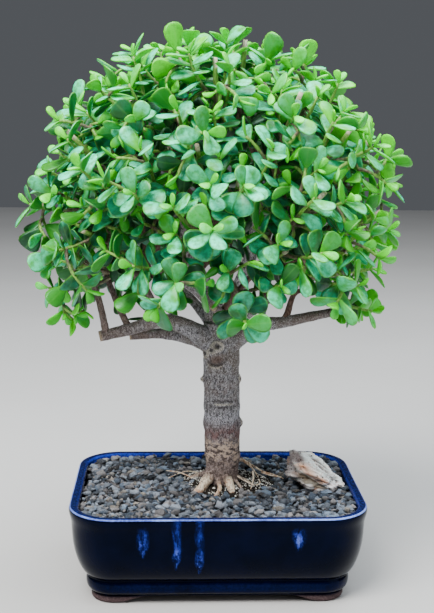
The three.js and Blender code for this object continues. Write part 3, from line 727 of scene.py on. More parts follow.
def blade_spots(leaf):
    width = leaf["width"] * leaf_half_width(TEST_SHARES) * TEST_SIDES
    return (
        leaf["foot"]
        + np.outer(TEST_SHARES * leaf["length"], leaf["along"])
        + np.outer(width, leaf["across"])
        + np.outer(leaf_sag(leaf, TEST_SHARES), leaf["face"])
    )


class Foliage:
    """All leaves placed so far, kept so that a new one can be tested against them."""

    KEYS = ("foot", "along", "face", "across")
    SIZES = ("length", "width", "bend")

    def __init__(self):
        self.ways = {key: np.zeros((LARGEST, 3)) for key in self.KEYS}
        self.sizes = {key: np.ones(LARGEST) for key in self.SIZES}
        self.spots = np.zeros((LARGEST, len(TEST_SHARES), 3))
        self.middles = np.full((LARGEST, 3), 1e6)
        self.leaves = []

    def _inside(self, spots, which, air):
        """Whether spots (n, m, 3) lie inside the blades of the n leaves that are picked."""
        ways = {key: self.ways[key][which] for key in self.KEYS}
        length, width, bend = (self.sizes[key][which][:, None] for key in self.SIZES)
        off = spots - ways["foot"][:, None]
        share = np.einsum("nmk,nk->nm", off, ways["along"]) / length
        across = np.abs(np.einsum("nmk,nk->nm", off, ways["across"]))
        lift = np.einsum("nmk,nk->nm", off, ways["face"]) + bend * length * share * share
        inside = (share >= 0.04) & (share <= 1 + air / length)
        inside &= across <= width * leaf_half_width(share) + air
        return inside & (np.abs(lift) < LEAF_THICKNESS + air)

    def clear(self, leaf, air):
        spots = blade_spots(leaf)
        if not wood.spots_clear(spots, LEAF_THICKNESS / 2 + air):
            return False
        middle = leaf["foot"] + leaf["along"] * leaf["length"] / 2
        count = len(self.leaves)
        reach = leaf["length"] / 2 + 8 + self.sizes["length"][:count] / 2
        near = np.nonzero(np.linalg.norm(self.middles[:count] - middle, axis=1) <= reach)[0]
        if len(near):
            if self._inside(np.broadcast_to(spots, (len(near), *spots.shape)), near, air).any():
                return False
            self._store(leaf, count)
            mine = np.full(len(near), count)
            if self._inside(self.spots[near], mine, air).any():
                return False
        return True

    def rod_clear(self, start, end, radius):
        """True if no leaf touches a straight rod."""
        count = len(self.leaves)
        spots = start + np.linspace(0, 1, 12)[:, None] * (end - start)
        near = np.nonzero(np.linalg.norm(self.middles[:count] - (start + end) / 2, axis=1) < 45)[0]
        every = np.broadcast_to(spots, (len(near), *spots.shape))
        return not self._inside(every, near, radius + 0.2).any()

    def _store(self, leaf, place):
        for key in self.KEYS:
            self.ways[key][place] = leaf[key]
        for key in self.SIZES:
            self.sizes[key][place] = leaf[key]

    def add(self, leaf):
        place = len(self.leaves)
        self._store(leaf, place)
        self.spots[place] = blade_spots(leaf)
        self.middles[place] = leaf["foot"] + leaf["along"] * leaf["length"] / 2
        self.leaves.append(leaf)

    def try_leaf(self, shoot, key, node, side, share, size, open_by, air, tries, **facts):
        for attempt in range(tries):
            leaf = leaf_at(shoot, key, node, side, share, size, attempt, open_by)
            if self.clear(leaf, air):
                leaf.update(facts)
                self.add(leaf)
                return True
        return False


foliage = Foliage()
MAIN_PAIRS = [(0.94, 0.92, 1, 0.96), (0.62, 1, 2, 1.22)]
for node, (share, size, every, open_by) in enumerate(MAIN_PAIRS):
    for skeleton in skeletons:
        for number, shoot in enumerate(skeleton["shoots"]):
            if (skeleton["index"] + number) % every:
                continue
            for side in (0, 1):
                key = skeleton["index"] * 7 + number
                foliage.try_leaf(
                    shoot, key, node, side, share, size, open_by, 0.7, 6,
                    spray=skeleton["index"], youth=0.45 - 0.3 * node,
                )
print("leaves as in the part", len(foliage.leaves))

# Pruned stems: some sprays' stems run on to the crown's surface and end there in a pale cut
for skeleton, plan in zip(skeletons, plans):
    index = plan["index"]
    if plan["axis"][2] < 0.1 or chance(index, 120) < 0.25:
        continue
    foot = plan["foot"] + plan["axis"] * SEAT
    for share in (1.04, 0.94, 0.84):
        end = plan["foot"] + plan["axis"] * plan["length"] * (share + 0.06 * spread(index, 121))
        start = skeleton["stem"].at(0.9)
        if foliage.rod_clear(start, end, TWIG_END_RADIUS):
            wood.add(start, end, TWIG_END_RADIUS, index)
            skeleton["stem"] = line(foot, end)
            break

# Finer growth: more pairs down each shoot and a rosette of young leaves at its tip
FINE_PAIRS = [
    # share of the shoot, size, opening, node, youth
    (1.0, 0.52, 0.55, 1, 1.0),
    (0.79, 0.92, 1.12, 1, 0.35),
    (0.62, 0.98, 1.25, 0, 0.2),
    (0.46, 0.96, 1.3, 1, 0.1),
    (0.32, 0.86, 1.35, 0, 0.0),
]
for pair, (share, size, open_by, node, youth) in enumerate(FINE_PAIRS):
    for skeleton in skeletons:
        for number, shoot in enumerate(skeleton["shoots"]):
            for side in (0, 1):
                key = skeleton["index"] * 7 + number + 300 * (pair + 1)
                foliage.try_leaf(
                    shoot, key, node, side, share, size, open_by, 0.25, 4,
                    spray=skeleton["index"], youth=youth,
                )
print("leaves with the finer pairs", len(foliage.leaves))

# Sprigs that fill the gaps that are left under the crown's outline, each from the nearest wood
SPRIG_LEAVES = [(0.98, 0.6, 0.6, 0, 0.9), (0.86, 0.95, 1.05, 1, 0.4), (0.62, 1, 1.25, 0, 0.2)]
LOW_SPRIG_TIPS = [
    # round the end of the long left limb, under the crown's outline
    (-105, -16, 190), (-100, -4, 184), (-97, -24, 191), (-112, -6, 199), (-108, -24, 202),
    (-94, 8, 188), (-89, -26, 196), (-103, 4, 196),
    # between that limb and the crown
    (-66, 4, 198), (-50, 12, 191), (-33, 14, 193), (-38, 18, 203), (-56, 18, 200),
    # under the end of the right limb
    (88, -14, 184), (96, -4, 190), (78, -16, 196), (98, -18, 200), (86, 8, 188),
]
sprigs = []


def grow_sprig(number, tip, scale=1, young=0):
    """Grows a sprig from the nearest thin wood to a tip, if it has room there for leaves."""
    crowding = np.linalg.norm(foliage.middles[: len(foliage.leaves)] - tip, axis=1)
    if crowding.min() < SPRIG_ROOM:
        return
    starts = wood.start[: wood.count]
    usable = wood.radius[: wood.count] < SPRIG_WOOD_THICKEST
    usable &= np.linalg.norm(starts - GROWTH_FROM, axis=1) > 22
    away = np.linalg.norm(starts - tip, axis=1) + np.where(usable, 0, 1e6)
    near = int(np.argmin(np.where(away < 9, 1e6, away)))
    start = starts[near].copy()
    reach = np.linalg.norm(tip - start)
    if reach > SPRIG_LONGEST:
        return
    lean = unit(unit(tip - start) + 0.6 * unit(tip - GROWTH_FROM))
    bend = start + lean * reach * 0.5
    shoot = bow(start, bend, tip)
    middle = shoot.at(0.55)
    if wood.gap_to(middle, tip, SPRIG_RADIUS, NO_OWNER) < 0.2:
        return
    spray = int(np.argmin([np.linalg.norm(plan["tip"] - tip) for plan in plans]))
    placed = 0
    for share, size, open_by, node, youth in SPRIG_LEAVES:
        for side in (0, 1):
            placed += foliage.try_leaf(
                shoot, 5000 + number, node, side, share, size * scale, open_by, 0.25, 3,
                spray=spray, youth=youth + young,
            )
    if placed:
        sprigs.append((spray, shoot))
        wood.add(middle, tip, SPRIG_RADIUS, spray)


for number in range(SPRIG_TRIES):
    sine = -0.42 + 1.41 * chance(number, 101)
    turn = 2 * math.pi * chance(number, 102)
    flat = math.sqrt(max(0, 1 - sine * sine))
    out = np.array([flat * math.cos(turn), flat * math.sin(turn), sine])
    runner = number % RUNNER_EVERY == 0
    depth = 1.09 if runner else 1.0 - 0.42 * chance(number, 103) ** 1.3
    tip = CROWN_CENTRE + out * crown_reach(out) * depth
    if tip[2] > HIGHEST_TIP or runner and (sine > 0.5 or abs(tip[0]) > 112 or abs(tip[1]) > 104):
        continue
    grow_sprig(number, tip)
print("leaves with the sprigs", len(foliage.leaves), "sprigs", len(sprigs))
for number, tip in enumerate(LOW_SPRIG_TIPS):
    grow_sprig(SPRIG_TRIES + number, np.array(tip, float), 0.78, 0.5)
print("leaves with the low sprigs", len(foliage.leaves), "sprigs", len(sprigs))


# Materials: shader maths as Python expressions

class Value:
    """A shader socket that can be reckoned with; numbers alone are worked out in Python."""

    def __init__(self, material, socket):
        self.material = material
        self.socket = socket

    def _math(self, operation, *others):
        return self.material.node("ShaderNodeMath", {"operation": operation}, [self, *others])

    def __add__(self, other):
        return self._math("ADD", other)

    __radd__ = __add__

    def __sub__(self, other):
        return self._math("SUBTRACT", other)

    def __rsub__(self, other):
        return self.material.node("ShaderNodeMath", {"operation": "SUBTRACT"}, [other, self])

    def __mul__(self, other):
        return self._math("MULTIPLY", other)

    __rmul__ = __mul__

    def __truediv__(self, other):
        return self._math("DIVIDE", other)

    def absolute(self):
        return self._math("ABSOLUTE")

    def most(self, other):
        return self._math("MAXIMUM", other)

    def step(self, low, high):
        """0 below low, 1 above high, smooth between."""
        settings = {"interpolation_type": "SMOOTHSTEP"}
        inputs = {"Value": self, "From Min": low, "From Max": high}
        return self.material.node("ShaderNodeMapRange", settings, inputs)

    def band(self, low, high, soft):
        """1 between low and high, 0 outside, smooth over soft."""
        return self.step(low - soft, low + soft) * (1 - self.step(high - soft, high + soft))


class Finish:
    """A material built from nodes, with one Principled shader."""

    def __init__(self, name, **constants):
        self.material = bpy.data.materials.new(name)
        self.material.use_nodes = True
        self.tree = self.material.node_tree
        self.shader = self.tree.nodes["Principled BSDF"]
        for socket, value in constants.items():
            self.shader.inputs[socket.replace("_", " ")].default_value = value
        self.position = self.node("ShaderNodeTexCoord", {}, {}, "Object")
        self.x, self.y, self.z = self.split(self.position)

    def node(self, kind, settings, inputs, output=0):
        """A node with its settings made first and then its sockets filled or linked."""
        made = self.tree.nodes.new(kind)
        for name, value in settings.items():
            setattr(made, name, value)
        pairs = inputs.items() if isinstance(inputs, dict) else enumerate(inputs)
        for name, value in pairs:
            socket = made.inputs[name]
            if isinstance(value, Value):
                self.tree.links.new(value.socket, socket)
            else:
                socket.default_value = value
        return made if output is None else Value(self, made.outputs[output])

    def split(self, vector):
        """The three numbers of a vector."""
        made = self.node("ShaderNodeSeparateXYZ", {}, {"Vector": vector}, None)
        return [Value(self, made.outputs[i]) for i in range(3)]

    def fact(self, name):
        """A corner fact of the piece, split into its three numbers."""
        return self.split(self.node("ShaderNodeAttribute", {"attribute_name": name}, {}, "Vector"))

    def stretched(self, scale, turn=(0.0, 0.0, 0.0)):
        """The position, turned and stretched, for a pattern that is longer one way."""
        inputs = {"Vector": self.position, "Scale": scale, "Rotation": turn}
        return self.node("ShaderNodeMapping", {}, inputs)

    def noise(self, scale, detail=3, where=None, rough=0.5):
        inputs = {"Vector": where or self.position, "Scale": scale, "Detail": detail, "Roughness": rough}
        return self.node("ShaderNodeTexNoise", {}, inputs)

    def cells(self, scale):
        """The distance to the nearest of many scattered spots."""
        return self.node("ShaderNodeTexVoronoi", {}, {"Vector": self.position, "Scale": scale}, "Distance")

    def mix(self, share, one, two):
        """The first colour where the share is 0 and the second where it is 1."""
        one, two = ((*c, 1) if isinstance(c, tuple) else c for c in (one, two))
        return self.node("ShaderNodeMix", {"data_type": "RGBA"}, {0: share, 6: one, 7: two}, 2)

    def layers(self, ground, *coats):
        """Colours laid one over the other, each where its share is 1."""
        for share, colour in coats:
            ground = self.mix(share, ground, colour)
        return ground

    def set(self, **inputs):
        """Fills or links the shader's own sockets."""
        for name, value in inputs.items():
            socket = self.shader.inputs[name.replace("_", " ")]
            if isinstance(value, Value):
                self.tree.links.new(value.socket, socket)
            else:
                socket.default_value = value

    def bump(self, height, distance, strength=1.0, normal=None):
        inputs = {"Height": height, "Distance": distance, "Strength": strength}
        if normal:
            inputs["Normal"] = normal
        return self.node("ShaderNodeBump", {}, inputs, "Normal")


def leaf_finish():
    """Waxy succulent leaf: a mint wax coat with a painted sky sheen on the upper face, yellow-green when
    young, painted light at the rim, and painted dark in the crown's shade and on lower faces.
    """
    m = Finish(
        "jade_leaf", Subsurface_Weight=0.1, Subsurface_Scale=0.004,
        Specular_IOR_Level=0.55, Specular_Tint=(0.45, 1, 0.72, 1), Coat_Weight=0.08, Coat_Roughness=0.25,
    )
    m.shader.inputs["Subsurface Radius"].default_value = (0.35, 1.0, 0.1)
    tint, youth, stem = m.fact("life")
    share, side, top = m.fact("blade")
    mottle = m.noise(300, 4, None, 0.6)
    patches = m.noise(85, 3)
    rim = side.absolute().step(0.82, 1.0).most(share.step(0.93, 1.0))
    heart = 1 - side.absolute().step(0.0, 0.16)
    lit = tint.step(0.0, 0.25)
    # Old and young greens run from near-black, where the tint holds painted shade, to bright green, where
    # it holds painted sky light
    old = m.mix(tint.step(0.1, 0.85), (0.0015, 0.016, 0.0025), (0.012, 0.25, 0.034))
    young = m.mix(tint.step(0.1, 0.9), (0.055, 0.55, 0.002), (0.16, 0.98, 0.004))
    body = m.mix(youth.step(0.15, 0.95), old, young)
    upper = top.step(-0.2, 0.4) * (1 - youth.step(0.45, 1.0) * 0.8)
    # A mint wax coat on the upper face with a painted sky sheen, most on leaves painted as facing the sky
    bloom_and_sheen = upper * patches.step(0.34, 0.58) * tint.step(0.0, 0.7) * (0.35 + 0.65 * share.step(0.08, 0.6))
    face = m.layers(
        body,
        (bloom_and_sheen * 0.7, (0.022, 0.48, 0.15)),
        (bloom_and_sheen * (0.3 + 0.7 * mottle.step(0.34, 0.62)) * 0.8, (0.032, 1.0, 0.67)),
        (mottle.step(0.5, 0.36) * 0.25, (0.02, 0.12, 0.015)),
        (heart * 0.14, (0.16, 0.48, 0.08)),
        # Painted light shining through the rim of leaves out of the shade
        (rim * lit * 0.45, (0.18, 0.6, 0.03)),
        ((1 - share.step(0.0, 0.4)) * lit * 0.55, (0.09, 0.5, 0.02)),
        # Painted shade on the lower faces
        ((1 - upper) * (1 - youth) * lit * 0.3, (0.01, 0.15, 0.012)),
    )
    grain = m.noise(700, 3, m.stretched((1, 1, 0.4)))
    young_stem = m.mix(grain.step(0.35, 0.65), (0.11, 0.25, 0.03), (0.24, 0.4, 0.075))
    old_stem = m.mix(grain.step(0.35, 0.65), (0.085, 0.055, 0.04), (0.2, 0.15, 0.1))
    ringed = m.mix(youth.step(0.25, 0.7), old_stem, young_stem)
    cut = m.mix(grain.step(0.4, 0.6), (0.42, 0.36, 0.24), (0.68, 0.62, 0.48))
    wooden = m.mix(stem.step(1.4, 1.6), ringed, cut)
    m.set(
        Base_Color=m.mix(stem.step(0.4, 0.6), face, wooden),
        Roughness=0.28 + mottle * 0.26 + stem.step(0.4, 0.6) * 0.25,
        Normal=m.bump(mottle * 0.6 + m.noise(1500, 2) * 0.25, 0.0005, 0.5),
    )
    return m.material


# Coloured bands of the trunk, in metres above the table: lowest, highest and how soft their edges are
BROWN_UPPER_BAND = (0.147, 0.2, 0.008)
BROWN_MIDDLE_BAND = (0.129, 0.142, 0.005)
SCRATCHED_BAND = (0.111, 0.1165, 0.0015)
RED_BAND = (0.0985, 0.108, 0.005)
FLAKY_BAND = (0.083, 0.0975, 0.0045)
LOW_BARK = (0.09, 0.102)


def bark_finish():
    """Lilac-grey bark with fine upright flecks, red-brown and flaky at the foot, pale roots and cuts, and
    painted shade in its grooves and pits.
    """
    m = Finish("bark", Specular_IOR_Level=0.3)
    pale, young, cut = m.fact("wood")
    pit, nub, groove_shade = m.fact("scar")
    upright = m.stretched((1, 1, 0.42))
    fibre = m.noise(820, 5, upright, 0.7)
    flecks = m.noise(1900, 3, m.stretched((1, 1, 0.55)), 0.7)
    patches = m.noise(80, 4, None, 0.62)
    blots = m.noise(170, 4, None, 0.65)
    flakes = m.noise(430, 4, m.stretched((0.6, 0.6, 1.2)), 0.68)
    height = m.z + (patches - 0.5) * 0.02 + (blots - 0.5) * 0.012
    grey = m.mix(fibre.step(0.4, 0.6), (0.045, 0.04, 0.045), (0.34, 0.33, 0.355))
    trunk = m.layers(
        grey,
        (patches.step(0.45, 0.66) * (0.5 + 0.5 * fibre) * 0.8, (0.14, 0.1, 0.09)),
        (m.z.band(*BROWN_MIDDLE_BAND) * blots.step(0.42, 0.58) * 0.55, (0.15, 0.098, 0.082)),
        (blots.step(0.54, 0.68) * 0.5, (0.5, 0.49, 0.53)),
        (m.z.band(*BROWN_UPPER_BAND) * patches.step(0.36, 0.6) * 0.55, (0.15, 0.12, 0.095)),
        (flecks.step(0.53, 0.64) * 0.6, (0.8, 0.78, 0.8)),
        (flecks.step(0.47, 0.36) * 0.62, (0.03, 0.025, 0.027)),
    )
    scratched = height.band(*SCRATCHED_BAND) * flecks.step(0.46, 0.6)
    red = height.band(*RED_BAND) * (0.35 + 0.65 * blots.step(0.35, 0.58))
    flaky = height.band(*FLAKY_BAND) * flakes.step(0.49, 0.57)
    low = 1 - height.step(*LOW_BARK)
    soiled = low * flakes.step(0.5, 0.4)
    trunk = m.layers(
        trunk,
        (scratched * 0.6, (0.7, 0.7, 0.8)),
        (red * 0.8, m.mix(fibre.step(0.38, 0.62), (0.06, 0.017, 0.018), (0.24, 0.095, 0.08))),
        (low * 0.55, m.mix(fibre.step(0.38, 0.62), (0.11, 0.062, 0.048), (0.42, 0.28, 0.22))),
        (soiled * 0.75, (0.045, 0.026, 0.02)),
        (flaky * 0.8, (0.7, 0.53, 0.4)),
    )
    twig = m.mix(fibre.step(0.36, 0.66), (0.065, 0.034, 0.027), (0.185, 0.115, 0.09))
    root = m.mix(fibre.step(0.34, 0.56), (0.36, 0.19, 0.1), (1.0, 0.88, 0.7))
    root = m.layers(
        root,
        (blots.step(0.5, 0.66) * 0.7, (0.5, 0.2, 0.08)),
        ((1 - m.z.step(0.0615, 0.0665)) * blots.step(0.36, 0.5) * 0.75, (0.42, 0.15, 0.06)),
        (flakes.step(0.44, 0.34) * 0.8, (0.07, 0.04, 0.028)),
    )
    wound = m.mix(flecks.step(0.4, 0.6), (0.3, 0.21, 0.13), (0.56, 0.46, 0.33))
    colour = m.layers(
        trunk,
        (young, twig),
        (pale, root),
        (nub.step(0.2, 0.8) * flecks.step(0.4, 0.55) * 0.8, (0.66, 0.6, 0.5)),
        (cut, wound),
        # Painted shade in the grooves and pits
        (groove_shade * 0.92, (0.028, 0.02, 0.018)),
        (pit * 0.9, (0.02, 0.014, 0.012)),
    )
    m.set(
        Base_Color=colour,
        Roughness=0.66 + flecks * 0.22,
        Normal=m.bump(
            flecks * 0.5, 0.0005, 0.9,
            m.bump(fibre * 0.8 + flakes * low * 0.8 + blots * 0.3, 0.0013, 0.9),
        ),
    )
    return m.material


GLAZE_RUNS = [
    # side the run is on (-1 front, 1 back), place along it, half width, top and bottom, all in metres
    (-1, -0.051, 0.004, 0.0575, 0.039),
    (-1, -0.0285, 0.0032, 0.0645, 0.0305),
    (-1, -0.0135, 0.003, 0.0645, 0.0263),
    (-1, 0.0525, 0.0048, 0.0565, 0.0435),
    (1, -0.062, 0.0033, 0.058, 0.041),
    (1, 0.019, 0.0035, 0.06, 0.0345),
]


def glaze_finish():
    """Near-black blue glaze that breaks to bright blue on the rim's corners and in a few runs, with a
    painted highlight along the rim's outer corner.
    """
    m = Finish("cobalt_glaze", Specular_IOR_Level=0.1, Specular_Tint=(0.28, 0.38, 0.7, 1))
    inset, _, _ = m.fact("wall")
    x = m.x - POT_MIDDLE.x
    y = m.y - POT_MIDDLE.y
    cloud = m.noise(38, 4, None, 0.6)
    fine = m.noise(620, 3, None, 0.65)
    streaks = m.noise(420, 4, m.stretched((1, 1, 0.2)), 0.65)
    sway = m.noise(60, 1, m.stretched((0.2, 0.2, 1)))
    wander = (streaks - 0.5) * 0.0022 + (sway - 0.5) * 0.004
    ragged_height = m.z + (streaks - 0.5) * 0.016
    runs = 0
    drips = 0
    for face, middle, half, top, bottom in GLAZE_RUNS:
        off = (x - middle + wander).absolute() / half
        narrowing = 1 - m.z.step(bottom - 0.001, bottom + 0.008)
        run = 1 - (off + narrowing * 0.7).step(0.1, 1.2)
        run = run * ragged_height.band(bottom, top, 0.0025) * (y * face).step(0.058, 0.062)
        runs = run.most(runs)
        drips = (run * (1 - m.z.step(bottom + 0.002, bottom + 0.02))).most(drips)
    # places on the pot, by the way in from the rim's edge in millimetres and by the height in metres
    outer_corner_break_and_highlight = (1 - inset.step(0.9, 1.5)) * m.z.step(0.0637, 0.0642)
    inner_corner = inset.band(5.2, 6.6, 0.35) * m.z.step(0.0618, 0.0628)
    rim_top = m.z.step(0.0618, 0.0632)
    inner_wall = inset.step(6.55, 6.75) * m.z.step(0.05, 0.0555) * (0.08 + 0.92 * y.step(0.046, 0.06))
    foot_edge = m.z.band(0.0085, 0.0155, 0.002) * inset.band(10.5, 13.4, 0.4)
    foot_bottom = inset.step(15.3, 16.2) * (1 - m.z.step(0.008, 0.009))
    bare = (1 - m.z.step(0.0034, 0.0058)).most(foot_bottom)
    body = m.mix(cloud.step(0.3, 0.75), (0.0004, 0.0008, 0.004), (0.0009, 0.0018, 0.011))
    top = m.mix(fine.step(0.35, 0.7), (0.003, 0.005, 0.028), (0.008, 0.016, 0.115))
    blue = m.mix(fine.step(0.35, 0.7), (0.01, 0.022, 0.26), (0.035, 0.075, 0.62))
    deep = m.mix(fine.step(0.35, 0.7), (0.003, 0.007, 0.075), (0.01, 0.02, 0.2))
    pale = (0.26, 0.38, 0.85)
    glaze = m.layers(
        body,
        (foot_edge * (0.04 + 0.14 * cloud.step(0.3, 0.6)) * (1 - 0.4 * x.step(0.0, 0.08)), deep),
        (rim_top * inset.step(0.2, 0.8), top),
        (inner_wall * (0.5 + 0.5 * cloud.step(0.3, 0.6)), blue),
        (inner_corner * (0.25 + 0.55 * y.step(0.04, 0.06)), blue),
        # The rim's outer corner: blue where the glaze thins, brightened as a painted highlight
        (outer_corner_break_and_highlight * (0.7 + 0.3 * cloud.step(0.35, 0.6)), blue),
        (outer_corner_break_and_highlight * (0.25 + 0.55 * cloud.step(0.42, 0.6) + 0.2 * fine.step(0.45, 0.6)), pale),
        (runs * (0.3 + 0.7 * streaks.step(0.38, 0.58)) * 0.75, deep),
        (runs * streaks.step(0.47, 0.62) * 0.4, blue),
        (drips * (streaks * 0.6 + fine * 0.4).step(0.42, 0.6) * 0.7, blue),
        (drips * drips * (streaks * 0.7 + fine * 0.3).step(0.49, 0.64) * 0.6, pale),
    )
    clay_grain = m.noise(900, 4, None, 0.7)
    clay = m.mix(clay_grain.step(0.35, 0.65), (0.05, 0.032, 0.033), (0.11, 0.074, 0.076))
    m.set(
        Base_Color=m.mix(bare, glaze, clay),
        Roughness=0.07 + cloud * 0.05 + rim_top * 0.08 + bare * 0.62,
        Normal=m.bump(cloud * 0.5 + clay_grain * bare * 0.25, 0.0012, 0.35),
    )
    return m.material


# From what share of the grains on they are warm grey, bluish and tan; the rest are cool grey
WARM_GRAINS = 0.48
BLUE_GRAINS = 0.75
TAN_GRAINS = 0.95


def gravel_finish():
    """Lava gravel: cool and warm grey, bluish and a few tan grains, dusty and pitted, with painted shade
    on each grain's lower part and all over the bed.
    """
    m = Finish("lava_gravel", Specular_IOR_Level=0.3)
    tint, light, painted_shade = m.fact("grain")
    pits = m.noise(1500, 3, None, 0.7)
    blotch = m.noise(420, 3, None, 0.6)
    cool = m.mix(light, (0.016, 0.02, 0.029), (0.37, 0.43, 0.53))
    warm = m.mix(light, (0.024, 0.022, 0.026), (0.38, 0.365, 0.38))
    blue = m.mix(light, (0.026, 0.038, 0.06), (0.28, 0.38, 0.53))
    tan = m.mix(light, (0.18, 0.16, 0.14), (0.46, 0.42, 0.37))
    grain = m.layers(
        cool,
        (tint.step(WARM_GRAINS, WARM_GRAINS + 0.02), warm),
        (tint.step(BLUE_GRAINS, BLUE_GRAINS + 0.01), blue),
        (tint.step(TAN_GRAINS, TAN_GRAINS + 0.01), tan),
    )
    m.set(
        Base_Color=m.layers(
            grain,
            (blotch.step(0.5, 0.7) * 0.35, (0.36, 0.37, 0.39)),
            (pits.step(0.46, 0.34) * 0.75, (0.014, 0.013, 0.014)),
            # Painted shade on the grains' lower parts and on the bed
            (painted_shade * 0.97, (0.005, 0.005, 0.006)),
        ),
        Roughness=0.72 + pits * 0.22,
        Normal=m.bump(pits + blotch, 0.0009, 1.0),
    )
    return m.material


def soil_finish():
    """Damp black soil, lumpy and dull."""
    m = Finish("soil", Specular_IOR_Level=0.25)
    crumbs = m.noise(650, 5, None, 0.7)
    lumps = m.cells(420)
    colour = m.mix(crumbs.step(0.35, 0.7), (0.006, 0.005, 0.004), (0.04, 0.028, 0.02))
    relief = m.bump(crumbs - lumps * 0.6, 0.0016, 1.0)
    m.set(Base_Color=colour, Roughness=0.85 + crumbs * 0.12, Normal=relief)
    return m.material


def stone_finish():
    """Chalk-white stone with a peach band and rust-red veins along it, brown hollows darkened by painted
    shade, low spots painted dark as shade, and a mauve end.
    """
    m = Finish("streaked_stone", Specular_IOR_Level=0.35)
    painted_low_shade, hollow, end = m.fact("relief")
    vein, ridge, nub = m.fact("stain")
    along = m.stretched((0.35, 1.2, 1.2), (0.0, 0.6, 0.45))
    streaks = m.noise(120, 5, along, 0.62)
    veins = m.noise(230, 4, along, 0.6)
    pits = m.cells(330)
    dirt = m.noise(90, 4, None, 0.6)
    grain = m.noise(900, 3, None, 0.65)
    chalk = m.mix(grain.step(0.3, 0.7), (0.9, 0.93, 0.95), (1.0, 1.0, 1.0))
    vein_line = veins.band(0.495, 0.525, 0.012)
    hollow_dirt_and_shade = m.mix(dirt.step(0.42, 0.56), (0.3, 0.24, 0.15), (0.07, 0.05, 0.032))
    m.set(
        Base_Color=m.layers(
            chalk,
            (streaks.step(0.5, 0.4) * (1 - end) * 0.55, (0.93, 0.74, 0.55)),
            (streaks.step(0.54, 0.64) * 0.8, (0.85, 0.46, 0.28)),
            (vein_line * dirt.step(0.42, 0.55) * 0.8, (0.42, 0.13, 0.07)),
            (vein * (0.45 + 0.55 * streaks.step(0.34, 0.56)) * 0.95, (0.86, 0.42, 0.23)),
            (vein * veins.step(0.5, 0.62) * 0.6, (0.5, 0.17, 0.09)),
            (ridge * grain.step(0.35, 0.6) * 0.6, (0.86, 1.0, 1.0)),
            (end * (0.5 + 0.5 * (dirt * 0.7 + grain).step(0.62, 0.92)) * 0.9, (0.15, 0.105, 0.11)),
            (end * (dirt * 0.5 + grain).step(0.72, 0.8) * 0.5, (0.7, 0.62, 0.62)),
            (nub * 0.95, (0.95, 0.97, 0.98)),
            # Painted shade in low spots among the crags, and brown dirt with painted shade in the hollows
            (painted_low_shade * 0.85, (0.07, 0.045, 0.037)),
            (hollow.step(0.15, 0.7) * 0.8, hollow_dirt_and_shade),
            ((1 - pits.step(0.13, 0.2)) * 0.9, (0.03, 0.024, 0.022)),
        ),
        Roughness=0.7 + grain * 0.2,
        Normal=m.bump(
            grain * 0.5, 0.0006, 0.8,
            m.bump(streaks + pits.step(0.0, 0.25) * 0.5 + dirt * 0.6, 0.0022, 0.9),
        ),
    )
    return m.material


def grainy_finish(name, scale, rough, dark, light, dullness, grain_dullness, depth, strength):
    """A plain finish with a fine grain in its colour, gloss and relief."""
    m = Finish(name, Specular_IOR_Level=0.4)
    grain = m.noise(scale, 3, None, rough)
    m.set(
        Base_Color=m.mix(grain.step(0.35, 0.65), dark, light),
        Roughness=dullness + grain * grain_dullness,
        Normal=m.bump(grain, depth, strength),
    )
    return m.material


LEAF = leaf_finish()
BARK = bark_finish()
GLAZE = glaze_finish()
GRAVEL = gravel_finish()
SOIL = soil_finish()
STONE = stone_finish()
PERLITE = grainy_finish(
    "perlite", 1600, 0.6, (0.68, 0.66, 0.6), (0.96, 0.95, 0.92), 0.75, 0.15, 0.0003, 0.7
)
SCREEN = grainy_finish(
    "drain_screen", 700, 0.5, (0.012, 0.013, 0.012), (0.028, 0.03, 0.028), 0.5, 0.2, 0.0002, 0.5
)


# Pieces of the crown

LEAF_BALL = ball(8, 8)
SHOOT_DRUM = drum(7, 10)
STEM_DRUM = drum(8, 4)


def drawn_half_width(share, club):
    """Half the width of a leaf as drawn; a high club moves the widest place towards its tip."""
    cosine = 2 * np.clip(share, 0, 1) ** club - 1
    return 0.5 * np.sqrt(np.maximum(0, 1 - cosine * cosine)) * (1 + 0.33 * cosine) * 0.97


def leaf_corners(leaf):
    """A ball drawn out into a plump blade with a rounded rim, a little cupped or arched."""
    x, y, z = LEAF_BALL.corners.T
    share = ((1 + z) / 2) ** 0.85
    off_axis = np.hypot(x, y) > 0.01
    angle = np.arctan2(y, x)
    half = drawn_half_width(share, leaf["club"]) * leaf["width"] * leaf["slimness"]
    neck = 0.9 * np.exp(-((share / 0.06) ** 2))
    side = np.cos(angle) * off_axis
    edge = side * (half + neck)
    fullness = 0.45 + 0.55 * np.sin(np.pi * np.clip(share, 0.04, 0.96))
    lift = np.sin(angle) * 0.55 * LEAF_THICKNESS * fullness * off_axis
    cup = leaf["cup"] * edge**2 / (0.5 * leaf["width"])
    ripple = 0.25 * np.sin(5 * share + 4 * side + 6 * leaf["tint"]) * np.abs(side)
    corners = (
        leaf["foot"]
        + np.outer(share * leaf["length"] * leaf["drawn"], leaf["along"])
        + np.outer(edge, leaf["across"])
        + np.outer(leaf_sag(leaf, share) + lift + cup + ripple, leaf["face"])
    )
    return corners, np.stack([share, side, np.sin(angle)], 1)


def node_swell(curve, thick, thin, nodes):
    """A shoot's radius: it tapers and swells where leaf pairs stand."""
    length = curve.length()

    def rule(shares, angle):
        radius = blend(thick, thin, shares)
        for node in nodes:
            radius = radius + 0.28 * np.exp(-(((shares - node) * length / 1.1) ** 2))
        return radius

    return rule


def shoot_life(shape, stem):
    """Growth facts of a shoot: young at its tip, and what sort of stem it is."""
    youth = np.clip(1.4 * shape.corners[:, 2] - 0.15, 0, 1)
    return np.stack([np.full_like(youth, 0.5), youth, np.full_like(youth, stem)], 1)


